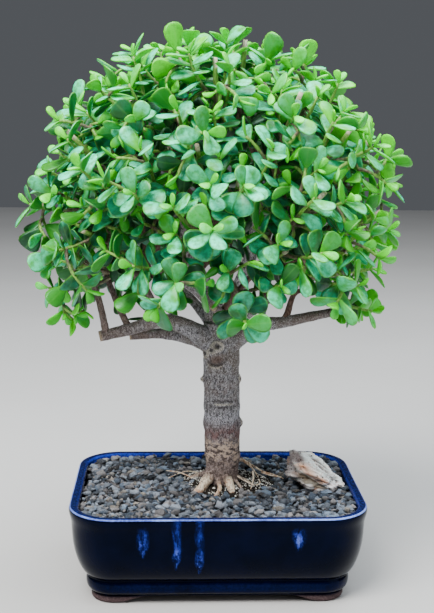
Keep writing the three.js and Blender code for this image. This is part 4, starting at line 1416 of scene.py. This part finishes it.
def add_shoot(piece, shoot, thick, thin, nodes):
    """A shoot with a swelling at each pair of leaves."""
    rule = node_swell(shoot, thick, thin, nodes)
    piece.add(SHOOT_DRUM, tube(SHOOT_DRUM, shoot, rule), life=shoot_life(SHOOT_DRUM, 1.0))


def add_stem(piece, stem):
    """The spray's own stem, which ends in a pale pruning cut."""
    life = shoot_life(STEM_DRUM, 1.0)
    life[:, 1] *= 0.75
    life[STEM_DRUM.corners[:, 2] > 0.999, 2] = 2
    rule = node_swell(stem, 1.8, 1.5, [0.2, 0.45, 0.7, 0.95])
    piece.add(STEM_DRUM, tube(STEM_DRUM, stem, rule), life=life)


def shade(spot):
    """Painted shade for a leaf: 0 in the open and 1 deep in the crown, well under its outline or close to
    the fork.
    """
    out = spot - CROWN_CENTRE
    near_outline = (np.linalg.norm(out) / crown_reach(unit(out)) - 0.58) / 0.34
    from_fork = (np.linalg.norm(spot - GROWTH_FROM) - 52) / 60
    return 1 - np.clip(min(near_outline, from_fork), 0, 1)


def sunlight(spot):
    """How much painted sunlight a spot gets, which also makes leaves slimmer: most on the crown's right
    and top.
    """
    return 0.75 * smooth_step(spot[0], 40, 100) + 0.65 * smooth_step(spot[2], 305, 355)


def add_leaf(piece, leaf, number):
    """A leaf with its own tint, youth and cupping: paler where it faces the sky, as painted light, and
    dark deep in the crown, as painted shade.

    Leaves on the sunny side get a painted yellow of sunlight, above all those that don't face the sky, and
    are slimmer.
    """
    deep = shade(leaf["foot"])
    skyward = max(0, leaf["face"][2])
    # The tint is a random tone plus painted sky light on leaves that face up, darkened by painted shade
    # deep in the crown
    bright = 0.07 + 0.43 * chance(number, 111) + 0.5 * skyward
    leaf["tint"] = bright * (1 - 0.93 * deep)
    leaf["cup"] = -0.16 + 0.42 * chance(number, 113)
    sun = min(1, sunlight(leaf["foot"])) * (0.3 + 0.7 * chance(number, 116))
    slender = max(chance(number, 114) ** 1.3, 0.75 * leaf["youth"], 0.7 * sun)
    leaf["slimness"] = 1.02 - 0.4 * slender
    leaf["drawn"] = 0.92 + 0.13 * slender
    leaf["club"] = 1.15 + 0.4 * chance(number, 115)
    # Painted sunlight makes leaves yellower, and painted shade makes deep leaves older and darker
    painted_sun_yellow = 0.85 * sun * (1 - 0.6 * skyward)
    youth = leaf["youth"] * (0.7 + 0.6 * chance(number, 112)) - 0.4 * deep + painted_sun_yellow
    corners, blade = leaf_corners(leaf)
    piece.add(LEAF_BALL, corners, life=(leaf["tint"], np.clip(youth, 0, 1), 0), blade=blade)


for skeleton in skeletons:
    index = skeleton["index"]
    piece = Piece(f"spray_{index + 1:02d}", "life", "blade")
    for shoot in skeleton["shoots"]:
        add_shoot(piece, shoot, 1.35, 0.85, [0.32, 0.46, 0.62, 0.79, 0.94])
    add_stem(piece, skeleton["stem"])
    for spray, shoot in sprigs:
        if spray == index:
            add_shoot(piece, shoot, 1.2, 0.8, [0.62, 0.86])
    for number, leaf in enumerate(foliage.leaves):
        if leaf["spray"] == index:
            add_leaf(piece, leaf, number)
    piece.finish(LEAF, f"leafy_spray_{index + 1:02d}", keep_in=CAD_BOX)


# The trunk with its limbs, twigs and roots

def limb_rule(curve, thick, thin, salt, taper=0.6, flare=0.0):
    """A limb's radius: it flares where it leaves the trunk and has faint rings of old leaf joints."""
    length = curve.length()

    def rule(shares, angle):
        radius = blend(thick, thin, shares**taper) * (1 + flare * np.exp(-((shares / 0.2) ** 2)))
        ripple = np.stack([np.cos(angle) * radius, np.sin(angle) * radius, shares * length], 1)
        joints = np.exp(-((np.sin(shares * length / 4.6 + salt) / 0.3) ** 2))
        return radius * (1 + 0.035 * noise(ripple, 0.45, salt)) + 0.05 * thick * joints

    return rule


def root_rule(curve, thick, thin, salt):
    """A root is knobbly and narrows unevenly."""
    length = curve.length()

    def rule(shares, angle):
        radius = blend(thick, thin, shares**0.8)
        skin = np.stack([np.cos(angle) * radius, np.sin(angle) * radius, shares * length], 1)
        return radius * (0.93 + 0.2 * noise(skin, 0.32, salt + 3) + 0.09 * noise(skin, 0.9, salt))

    return rule


def wood_facts(shape, pale=0.0, young=0.0, cut_end=0.0):
    """How root-pale, how twig-young and how freshly cut each corner is."""
    share = shape.corners[:, 2]
    end = np.where(share > 0.999, cut_end, 0.0)
    return np.stack([pale + 0 * share, young + 0 * share, end], 1)


def add_wood(shape, curve, rule, **facts):
    """Adds a limb, twig or root to the tree."""
    tree.add(shape, tube(shape, curve, rule), wood=wood_facts(shape, **facts))


tree = Piece("trunk_with_limbs", "wood", "scar")
TRUNK_DRUM = drum(120, 180)
trunk_angle = np.arctan2(TRUNK_DRUM.corners[:, 1], TRUNK_DRUM.corners[:, 0])
tree.add(
    TRUNK_DRUM, tube(TRUNK_DRUM, trunk_path, trunk_rule),
    wood=wood_facts(TRUNK_DRUM, young=collar_stain(TRUNK_DRUM.corners[:, 2], trunk_angle)),
    scar=trunk_marks(TRUNK_DRUM.corners[:, 2], trunk_angle),
)
LIMB_DRUM = drum(16, 36)
for number, (route, thick, thin) in enumerate(LIMBS):
    path = path_through(route)
    young = 0.75 if thick < 4 else np.clip(LIMB_DRUM.corners[:, 2] * 1.1 - 0.45, 0, 1)
    flare = 0.22 if thick > 5.5 else 0.0
    add_wood(LIMB_DRUM, path, limb_rule(path, thick, thin, number, flare=flare), young=young, cut_end=1.0)
TWIG_DRUM = drum(9, 14)
for number, (curve, thick) in enumerate(twigs):
    add_wood(TWIG_DRUM, curve, limb_rule(curve, thick, TWIG_END_RADIUS, number, 1), young=1)
ROOT_DRUM = drum(14, 24)
for number, (route, thick, thin) in enumerate(ROOTS):
    path = path_through(route)
    slim = ROOT_SLIMNESS[number]
    pale = ROOT_PALENESS[number] * smooth_step(ROOT_DRUM.corners[:, 2], 0.05, 0.3)
    add_wood(ROOT_DRUM, path, root_rule(path, thick * slim, thin * slim, number), pale=pale)
HAIR_DRUM = drum(6, 14)
for number, (route, thick) in enumerate(HAIR_ROOTS):
    path = path_through(route)
    add_wood(HAIR_DRUM, path, limb_rule(path, thick, 0.3, number), pale=1)
tree.finish(BARK, "trunk_and_branches")


# The pot

def outline(count):
    """Spots and outward ways round the pot's rim, evenly along it."""
    quarter = POT_CORNER * math.pi / 2
    long_side = POT_WIDTH - 2 * POT_CORNER
    short_side = POT_DEPTH - 2 * POT_CORNER
    spots = []
    ways = []
    lengths = [short_side, quarter, long_side, quarter] * 2
    total = sum(lengths)
    corners = [(1, 1), (-1, 1), (-1, -1), (1, -1)]
    for i in range(count):
        left = total * i / count
        leg = 0
        while left > lengths[leg]:
            left -= lengths[leg]
            leg += 1
        corner = leg // 2
        sx, sy = corners[corner]
        middle = np.array([sx * (POT_WIDTH / 2 - POT_CORNER), sy * (POT_DEPTH / 2 - POT_CORNER)])
        if leg % 2:
            angle = corner * math.pi / 2 + left / POT_CORNER
            way = np.array([math.cos(angle), math.sin(angle)])
            spots.append(middle + POT_CORNER * way)
        else:
            angle = corner * math.pi / 2
            way = np.array([math.cos(angle), math.sin(angle)])
            run = np.array([-way[1], way[0]])
            side = short_side if leg % 4 == 0 else long_side
            spots.append(middle + POT_CORNER * way + run * (left - side))
        ways.append(way)
    return np.array(spots), np.array(ways)


def arch_lift(x, y):
    """How far the feet's lower edge is lifted between the corners."""
    front = smooth_step(np.abs(x), 48, 70)
    side = smooth_step(np.abs(y), 24, 42)
    along_front = np.abs(y) > POT_DEPTH / 2 - FOOT_INSET - FOOT_WIDTH - 1
    return ARCH_TOP * (1 - np.where(along_front, front, side))


def rim_inset(corners):
    """How far inside the rim's outer edge each corner lies, as seen from above."""
    over_x = np.abs(corners[:, 0]) - (POT_WIDTH / 2 - POT_CORNER)
    over_y = np.abs(corners[:, 1]) - (POT_DEPTH / 2 - POT_CORNER)
    past_corner = np.hypot(np.maximum(over_x, 0), np.maximum(over_y, 0))
    return POT_CORNER - past_corner - np.minimum(np.maximum(over_x, over_y), 0)


POT_SKIN = [
    # (inset from the rim's outer edge, height), from the drain side up the outside and down the inside
    (23.5, 6.5), (16, 6.5), (14.4, 6.7), (13.1, 7.3), (12.1, 8.6), (11.6, 10.2), (11.35, 12.4),
    (11.5, 14.6), (12.0, 15.8), (12.75, 16.6), (12.3, 17.3), (10.8, 18.2), (8.6, 21), (6.6, 24.8),
    (4.9, 29.4), (3.5, 34.6), (2.5, 40.4), (2.0, 46.6), (1.8, 51), (1.65, 54), (1.3, 56.2),
    (0.8, 58), (0.35, 59.7), (0.08, 61.2), (0.02, 62.5), (0.35, 63.9), (1.1, 64.75), (2.2, 65),
    (4.4, 64.85), (5.7, 64.3), (6.5, 63.2), (6.8, 61), (6.95, 52), (7.2, 44), (8.2, 36),
    (9.8, 29.6), (12.2, 22.6), (15.6, 16.8), (19.6, 13.2), (23.4, 11.6),
]
FOOT_SKIN = [
    # the same for the foot, from its top outside, under it and up to its top inside
    (15, 6.6), (15, 1.9), (15.3, 0.9), (16, 0.25), (17, 0.0), (23, 0.0), (23.7, 0.4), (24, 1.2), (24, 6.6),
]
POT_SEGMENTS = 160
HOLE_SEGMENTS = 24


def turned_skin(mesh, profile, count, lifted=False):
    """Pulls a ring of edges along a profile; returns the first and the last ring."""
    spots, ways = outline(count)
    ring = bmesh.ops.create_circle(mesh, segments=count, radius=1)["verts"]
    ring = sorted(ring, key=lambda v: math.atan2(v.co.y, v.co.x) % (2 * math.pi))
    rings = [ring]

    def move(verts, inset, height):
        for vert, spot, way in zip(verts, spots, ways):
            x, y = spot - way * inset
            z = height
            if lifted:
                z = max(height, arch_lift(x, y) + 0.3 * height)
                z = min(z, UNDERSIDE + 0.1)
            vert.co = (x, y, z)

    move(ring, *profile[0])
    edges = [mesh.edges.get((ring[i], ring[(i + 1) % count])) for i in range(count)]
    for inset, height in profile[1:]:
        made = bmesh.ops.extrude_edge_only(mesh, edges=edges)["geom"]
        new_edges = [g for g in made if isinstance(g, bmesh.types.BMEdge)]
        following = []
        for vert in rings[-1]:
            link = [e.other_vert(vert) for e in vert.link_edges if e.other_vert(vert) not in rings[-1]]
            following.append([v for v in link if len(rings) < 2 or v not in rings[-2]][0])
        move(following, inset, height)
        rings.append(following)
        row = set(following)
        edges = [e for e in new_edges if e.verts[0] in row and e.verts[1] in row]
    return rings[0], rings[-1]


def edges_among(*rings):
    """The edges between the corners of each ring, once each and always in the same order."""
    found = [e for ring in rings for v in ring for e in v.link_edges if all(w in ring for w in e.verts)]
    return list(dict.fromkeys(found))


def drain_holes(mesh, ring, sign):
    """Closes a flat floor inside a ring, leaving the two drain holes; returns the hole rings."""
    holes = []
    for x in (-DRAIN_X, DRAIN_X):
        hole = bmesh.ops.create_circle(mesh, segments=HOLE_SEGMENTS, radius=DRAIN_RADIUS)["verts"]
        for vert in hole:
            vert.co.x += x
            vert.co.z = ring[0].co.z
        holes.append(hole)
    edges = edges_among(ring, *holes)
    bmesh.ops.triangle_fill(mesh, use_beauty=True, edges=edges, normal=(0, 0, sign))
    return holes


def make_pot():
    """The glazed body with its two drain holes, and the foot under it."""
    mesh = bmesh.new()
    first, last = turned_skin(mesh, POT_SKIN, POT_SEGMENTS)
    under = drain_holes(mesh, first, -1)
    above = drain_holes(mesh, last, 1)
    for low, high in zip(under, above):
        bmesh.ops.bridge_loops(mesh, edges=edges_among(low, high))
    outside, inside = turned_skin(mesh, FOOT_SKIN, POT_SEGMENTS, lifted=True)
    bmesh.ops.bridge_loops(mesh, edges=edges_among(outside, inside))
    bmesh.ops.recalc_face_normals(mesh, faces=mesh.faces)
    shape = Shape(mesh)
    pot = Piece("glazed_pot", "wall")
    pot.add(shape, shape.corners, wall=np.stack([rim_inset(shape.corners)] * 3, 1))
    return pot.finish(GLAZE, "pot")


make_pot()


# The filling: a bed painted dark as shade between the grains, lava grains all over it, soil and white
# crumbs round the trunk

def heap_height(x, y):
    """The gravel's surface: a low heap round the trunk, pushed up a little at the back and the right."""
    heap = GRAVEL_CROWN * np.exp(-((x + 10) ** 2 + (y - 8) ** 2) / 55**2)
    return GRAVEL_EDGE + heap + 1.9 * smooth_step(y, 25, 62) + 2.1 * smooth_step(x, 60, 90)


def inside_pot(x, y, margin):
    """True inside the pot's inner wall, less a margin."""
    half_x = POT_WIDTH / 2 - POT_WALL - margin
    half_y = POT_DEPTH / 2 - POT_WALL - margin
    corner = POT_CORNER - POT_WALL - margin
    over_x = max(0, abs(x) - (half_x - corner))
    over_y = max(0, abs(y) - (half_y - corner))
    return abs(x) <= half_x and abs(y) <= half_y and math.hypot(over_x, over_y) <= corner


def out_of_patch(x, y):
    """How far a spot is from the middle of the bare soil round the trunk: 1 at the patch's edge."""
    return np.hypot((x - PATCH_MIDDLE[0]) / PATCH_HALF[0], (y - PATCH_MIDDLE[1]) / PATCH_HALF[1])


def bare_soil(x, y):
    """True on the patch round the trunk where soil shows between the roots."""
    around = math.atan2(y - PATCH_MIDDLE[1], x - PATCH_MIDDLE[0])
    return out_of_patch(x, y) < 1 + 0.12 * math.sin(3 * around + 1) + 0.07 * math.sin(7 * around)


def grain_corners(shape, x, y, z, size, key):
    """An angular pebble: a many-sided ball squashed, knocked about and turned."""
    corners = shape.corners.copy()
    jolt = np.array([[spread(key, i, salt) for salt in (91, 92, 93)] for i in range(len(corners))])
    corners = corners * (1 + 0.34 * jolt[:, :1]) + 0.24 * jolt
    corners = corners * [1.08, 0.6 + 0.3 * chance(key, 94), 0.42 + 0.34 * chance(key, 95)]
    turn = turning(2, FULL_TURN * chance(key, 96)) @ turning(0, 0.7 * spread(key, 97))
    return corners @ turn.T * size + [x, y, z]


def soil_height(x, y):
    """The soil shows a little below the grains and sinks under them away from the trunk."""
    out = out_of_patch(x, y)
    spot = np.stack(np.broadcast_arrays(x, y, 0.0 * x), -1).reshape(-1, 3)
    rough = (noise(spot, 0.5, 4) * 0.5 + noise(spot, 1.3, 5) * 0.3).reshape(np.shape(x))
    return heap_height(x, y) + 1.6 - 5 * smooth_step(out, 0.75, 1.25) + rough


def closed_sheet(across, deep, place):
    """A closed slab from a grid of side 2; a rule puts each of its corners in place."""
    sheet = bmesh.new()
    bmesh.ops.create_grid(sheet, x_segments=across, y_segments=deep, size=1)
    for vert in sheet.verts:
        vert.co = place(vert.co.x, vert.co.y)
    lower = bmesh.ops.extrude_face_region(sheet, geom=sheet.faces[:])["geom"]
    lower = [v for v in lower if isinstance(v, bmesh.types.BMVert)]
    bmesh.ops.translate(sheet, verts=lower, vec=(0, 0, -SHEET_THICKNESS))
    bmesh.ops.recalc_face_normals(sheet, faces=sheet.faces)
    return Shape(sheet)


def from_trunk(x, y):
    """How far a spot is from the middle of the trunk's foot."""
    return math.hypot(x - TRUNK_FOOT[0], y - TRUNK_FOOT[1])


def bed_corner(x, y):
    """Spreads the bed under the grains, pulled in where it would pass the pot's wall."""
    x, y = x * (POT_WIDTH - 15) / 2, y * (POT_DEPTH - 15) / 2
    for _ in range(40):
        if inside_pot(x, y, 0.2):
            break
        x, y = x * 0.99, y * 0.99
    return x, y, heap_height(x, y) - BED_BELOW


def make_gravel():
    """A lower layer of larger grains and an upper one of mixed sizes, few and small on the bare soil."""
    bed = Piece("gravel_bed", "grain", smooth=False)
    shape = closed_sheet(60, 44, bed_corner)
    # The bed is painted near-black all over, as shade in the gaps between the grains
    bed.add(shape, shape.corners, grain=(0.1, 0, 1))
    grain = pebble(1)
    placed = 0
    key = 0
    while placed < GRAINS and key < 4 * GRAINS:
        key += 1
        upper = placed > LOWER_GRAINS * GRAINS
        size = 1.7 + 2.5 * chance(key, 98) ** 1.7 if upper else 2.4 + 1.6 * chance(key, 98)
        x = (POT_WIDTH - 14) * (chance(key, 99) - 0.5)
        y = (POT_DEPTH - 14) * (chance(key, 100) - 0.5)
        if not inside_pot(x, y, size * 0.4) or from_trunk(x, y) < TRUNK_RADIUS:
            continue
        if bare_soil(x, y):
            if chance(key, 101) > 0.06:
                continue
            size = size * 0.5
        if math.hypot((x - STONE_AT[0]) / STONE_ROOM[0], (y - STONE_AT[1]) / STONE_ROOM[1]) < 0.8:
            continue
        z = heap_height(x, y) - (0.7 if upper else 3.1) + 0.8 * spread(key, 102)
        corners = grain_corners(grain, x, y, z, size, key)
        # Each grain is painted darker towards its bottom, as shade
        painted_shade = np.clip(0.55 - (corners[:, 2] - z) / size, 0, 1)
        tint = np.full_like(painted_shade, chance(key, 103))
        light = np.full_like(painted_shade, chance(key, 104) ** 1.3)
        bed.add(grain, corners, grain=np.stack([tint, light, painted_shade], 1))
        placed += 1
    bed.finish(GRAVEL, "lava_gravel")


def make_crumbs():
    """White crumbs that lie on the bare soil."""
    crumbs = Piece("perlite_crumbs")
    lump = pebble(1)
    for number in range(CRUMBS):
        angle = FULL_TURN * chance(number, 105)
        out = math.sqrt(chance(number, 106)) * 1.06
        x = PATCH_MIDDLE[0] + PATCH_HALF[0] * out * math.cos(angle)
        y = PATCH_MIDDLE[1] + PATCH_HALF[1] * out * math.sin(angle)
        if from_trunk(x, y) < TRUNK_RADIUS - 0.5:
            continue
        size = 0.28 + 0.62 * chance(number, 107) ** 2
        z = soil_height(x, y) + 0.5 * size
        crumbs.add(lump, grain_corners(lump, x, y, z, size, number))
    crumbs.finish(PERLITE)


def patch_corner(x, y):
    """Spreads the soil a little past the edge of the bare patch."""
    x = PATCH_MIDDLE[0] + PATCH_HALF[0] * x * 1.2
    y = PATCH_MIDDLE[1] + PATCH_HALF[1] * y * 1.2
    return x, y, soil_height(x, y)


def make_soil_patch():
    """The soil that shows between the roots."""
    dirt = Piece("soil_patch")
    shape = closed_sheet(56, 44, patch_corner)
    dirt.add(shape, shape.corners)
    dirt.finish(SOIL)


make_gravel()
make_crumbs()
make_soil_patch()


# The accent stone

CRAGS = [
    # how fine the crags are, and how deep
    (2.6, 0.15), (5.5, 0.13), (11, 0.075), (23, 0.038), (46, 0.016),
]
# Hollows and the nub, as places on a ball: their middle, and the square of their reach each way
NOTCH = ((-0.45, -0.75, -0.75), (0.09, 0.4, 0.16))
CAVITIES = [((-0.12, -0.85, -0.1), (0.05, 0.3, 0.05)), ((0.36, -0.8, -0.5), (0.03, 0.3, 0.06))]
NUB = ((-0.5, -0.8, -0.3), (0.035, 0.2, 0.06))
STONE_HALF_LENGTH = 22
STONE_HALF_DEPTH = 13
STONE_TILT = 0.27
STONE_TURN = -0.42


def spot_on(ball_spots, middle, square_reach):
    """1 at the middle of a place on a ball, fading to 0 round it."""
    return np.exp(-((ball_spots - middle) ** 2 / square_reach).sum(1))


def make_stone():
    """A block with blunt corners, knocked into crags, furrowed and hollowed, thick at its left end."""
    shape = pebble(6)
    spots = shape.corners
    blunt = spots / (np.abs(spots) ** 2.7).sum(1)[:, None] ** (1 / 2.7) * 0.95
    x, y, z = blunt.T
    lump = 1 + 0.09 * np.sin(4.1 * x + 1.7) + 0.09 * np.sin(5.3 * y + 2.6 * z)
    crags = 0
    for scale, size in CRAGS:
        crags = crags + size * (0.55 - 1.6 * np.abs(noise(spots * [0.6, 1, 1], scale, scale)))
    furrow = bell(z + 0.5 * x, -0.06, 0.24) * smooth_step(-y, 0.1, 0.6) * bell(x, 0.2, 0.62)
    notch = spot_on(blunt, *NOTCH)
    cavity = sum(spot_on(blunt, *place) for place in CAVITIES)
    nub = spot_on(blunt, *NUB)
    lump = lump + crags - 0.26 * furrow - 0.3 * notch - 0.28 * cavity + 0.2 * nub
    rise = np.where(z > 0, 12 * (0.92 - 0.5 * x), 8 * (1 - 0.4 * x))
    block = np.stack([x * STONE_HALF_LENGTH * lump, y * STONE_HALF_DEPTH * lump, z * rise * lump], 1)
    turn = turning(2, STONE_TURN) @ turning(1, STONE_TILT)

    end = smooth_step(-x - 0.35 * z + 0.3 * noise(spots, 3, 2), 0.2, 0.5) * (1 - nub)
    across = z + 0.25 * x + 0.13 * noise(spots, 4, 6)
    vein = bell(across, 0.42, 0.17) * smooth_step(-y, 0.0, 0.4) * bell(x, -0.15, 0.55)
    ridge = smooth_step(across, 0.45, 0.7)
    # Low spots among the crags and the hollows, for painted shade there, and the mauve end
    relief = [smooth_step(-crags, 0.0, 0.16), np.clip(furrow + notch + 0.9 * cavity, 0, 1), end]
    stone = Piece("accent_stone", "relief", "stain")
    stone.add(
        shape, block @ turn.T + STONE_AT,
        relief=np.stack(relief, 1), stain=np.stack([vein, ridge, nub], 1),
    )
    stone.finish(STONE, "stone")


make_stone()

for node, material in (("soil", SOIL), ("drain_screen_left", SCREEN), ("drain_screen_right", SCREEN)):
    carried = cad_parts[node]
    carried.data.materials.clear()
    carried.data.materials.append(material)


# Floor, light and camera

def make_stage():
    """A plain pale floor."""
    mesh = bmesh.new()
    bmesh.ops.create_grid(mesh, x_segments=1, y_segments=1, size=3)
    data = bpy.data.meshes.new("floor")
    mesh.to_mesh(data)
    mesh.free()
    floor = bpy.data.objects.new("floor", data)
    bpy.context.scene.collection.objects.link(floor)
    m = Finish("floor", Roughness=0.8)
    m.set(Base_Color=m.mix(m.noise(3, 2).step(0.3, 0.7), (0.47, 0.465, 0.46), (0.5, 0.495, 0.49)))
    data.materials.append(m.material)


def area_light(name, spot, aim, size, watts, colour):
    """A soft square light at a spot that shines at another."""
    light = bpy.data.lights.new(name, "AREA")
    light.size = size
    light.energy = watts
    light.color = colour
    lamp = bpy.data.objects.new(name, light)
    lamp.location = spot
    lamp.rotation_mode = "QUATERNION"
    lamp.rotation_quaternion = (Vector(aim) - Vector(spot)).to_track_quat("-Z", "Y")
    bpy.context.scene.collection.objects.link(lamp)


def make_light():
    """A warm light from the front left, a wide cool one overhead, a weak fill and a dim surround."""
    area_light("key", (-0.6, -0.8, 1.5), (0, 0, 0.22), 0.8, 64, (1, 0.99, 0.96))
    area_light("sky", (0.25, 0.05, 1.6), (0, 0, 0.2), 1.5, 54, (0.9, 0.96, 1))
    area_light("fill", (1.3, -1.0, 0.6), (0, 0, 0.2), 1.2, 5, (1, 1, 1))
    world = bpy.data.worlds.new("studio")
    bpy.context.scene.world = world
    world.use_nodes = True
    ground = world.node_tree.nodes["Background"]
    ground.inputs["Color"].default_value = (0.75, 0.8, 0.88, 1)
    ground.inputs["Strength"].default_value = 0.12


# Where the photograph was taken from, in metres, the yaw, pitch and roll there, and the lens
CAMERA_SPOT = (-0.0343, -0.7426, 0.3258)
CAMERA_TURN = (0.0451, 0.1768, 0.0116)
CAMERA_LENS = 63.57


def make_camera():
    """The photograph's viewpoint, in the pot's frame: a standing look slightly down at the tree."""
    yaw, pitch, roll = CAMERA_TURN
    spot = Vector(CAMERA_SPOT) + POT_MIDDLE
    right = Vector((math.cos(yaw), -math.sin(yaw), 0))
    ahead = Vector((math.sin(yaw), math.cos(yaw), 0))
    forward = ahead * math.cos(pitch) - Vector((0, 0, math.sin(pitch)))
    up = ahead * math.sin(pitch) + Vector((0, 0, math.cos(pitch)))
    tilted_right = right * math.cos(roll) + up * math.sin(roll)
    tilted_up = up * math.cos(roll) - right * math.sin(roll)
    data = bpy.data.cameras.new("camera")
    data.sensor_width = 36
    data.lens = CAMERA_LENS
    data.clip_start = 0.01
    camera = bpy.data.objects.new("camera", data)
    bpy.context.scene.collection.objects.link(camera)
    turned = camera.matrix_world.to_3x3()
    turned.col[0] = tilted_right
    turned.col[1] = tilted_up
    turned.col[2] = -forward
    placed = turned.to_4x4()
    placed.translation = spot
    camera.matrix_world = placed
    bpy.context.scene.camera = camera


make_stage()
make_light()
make_camera()
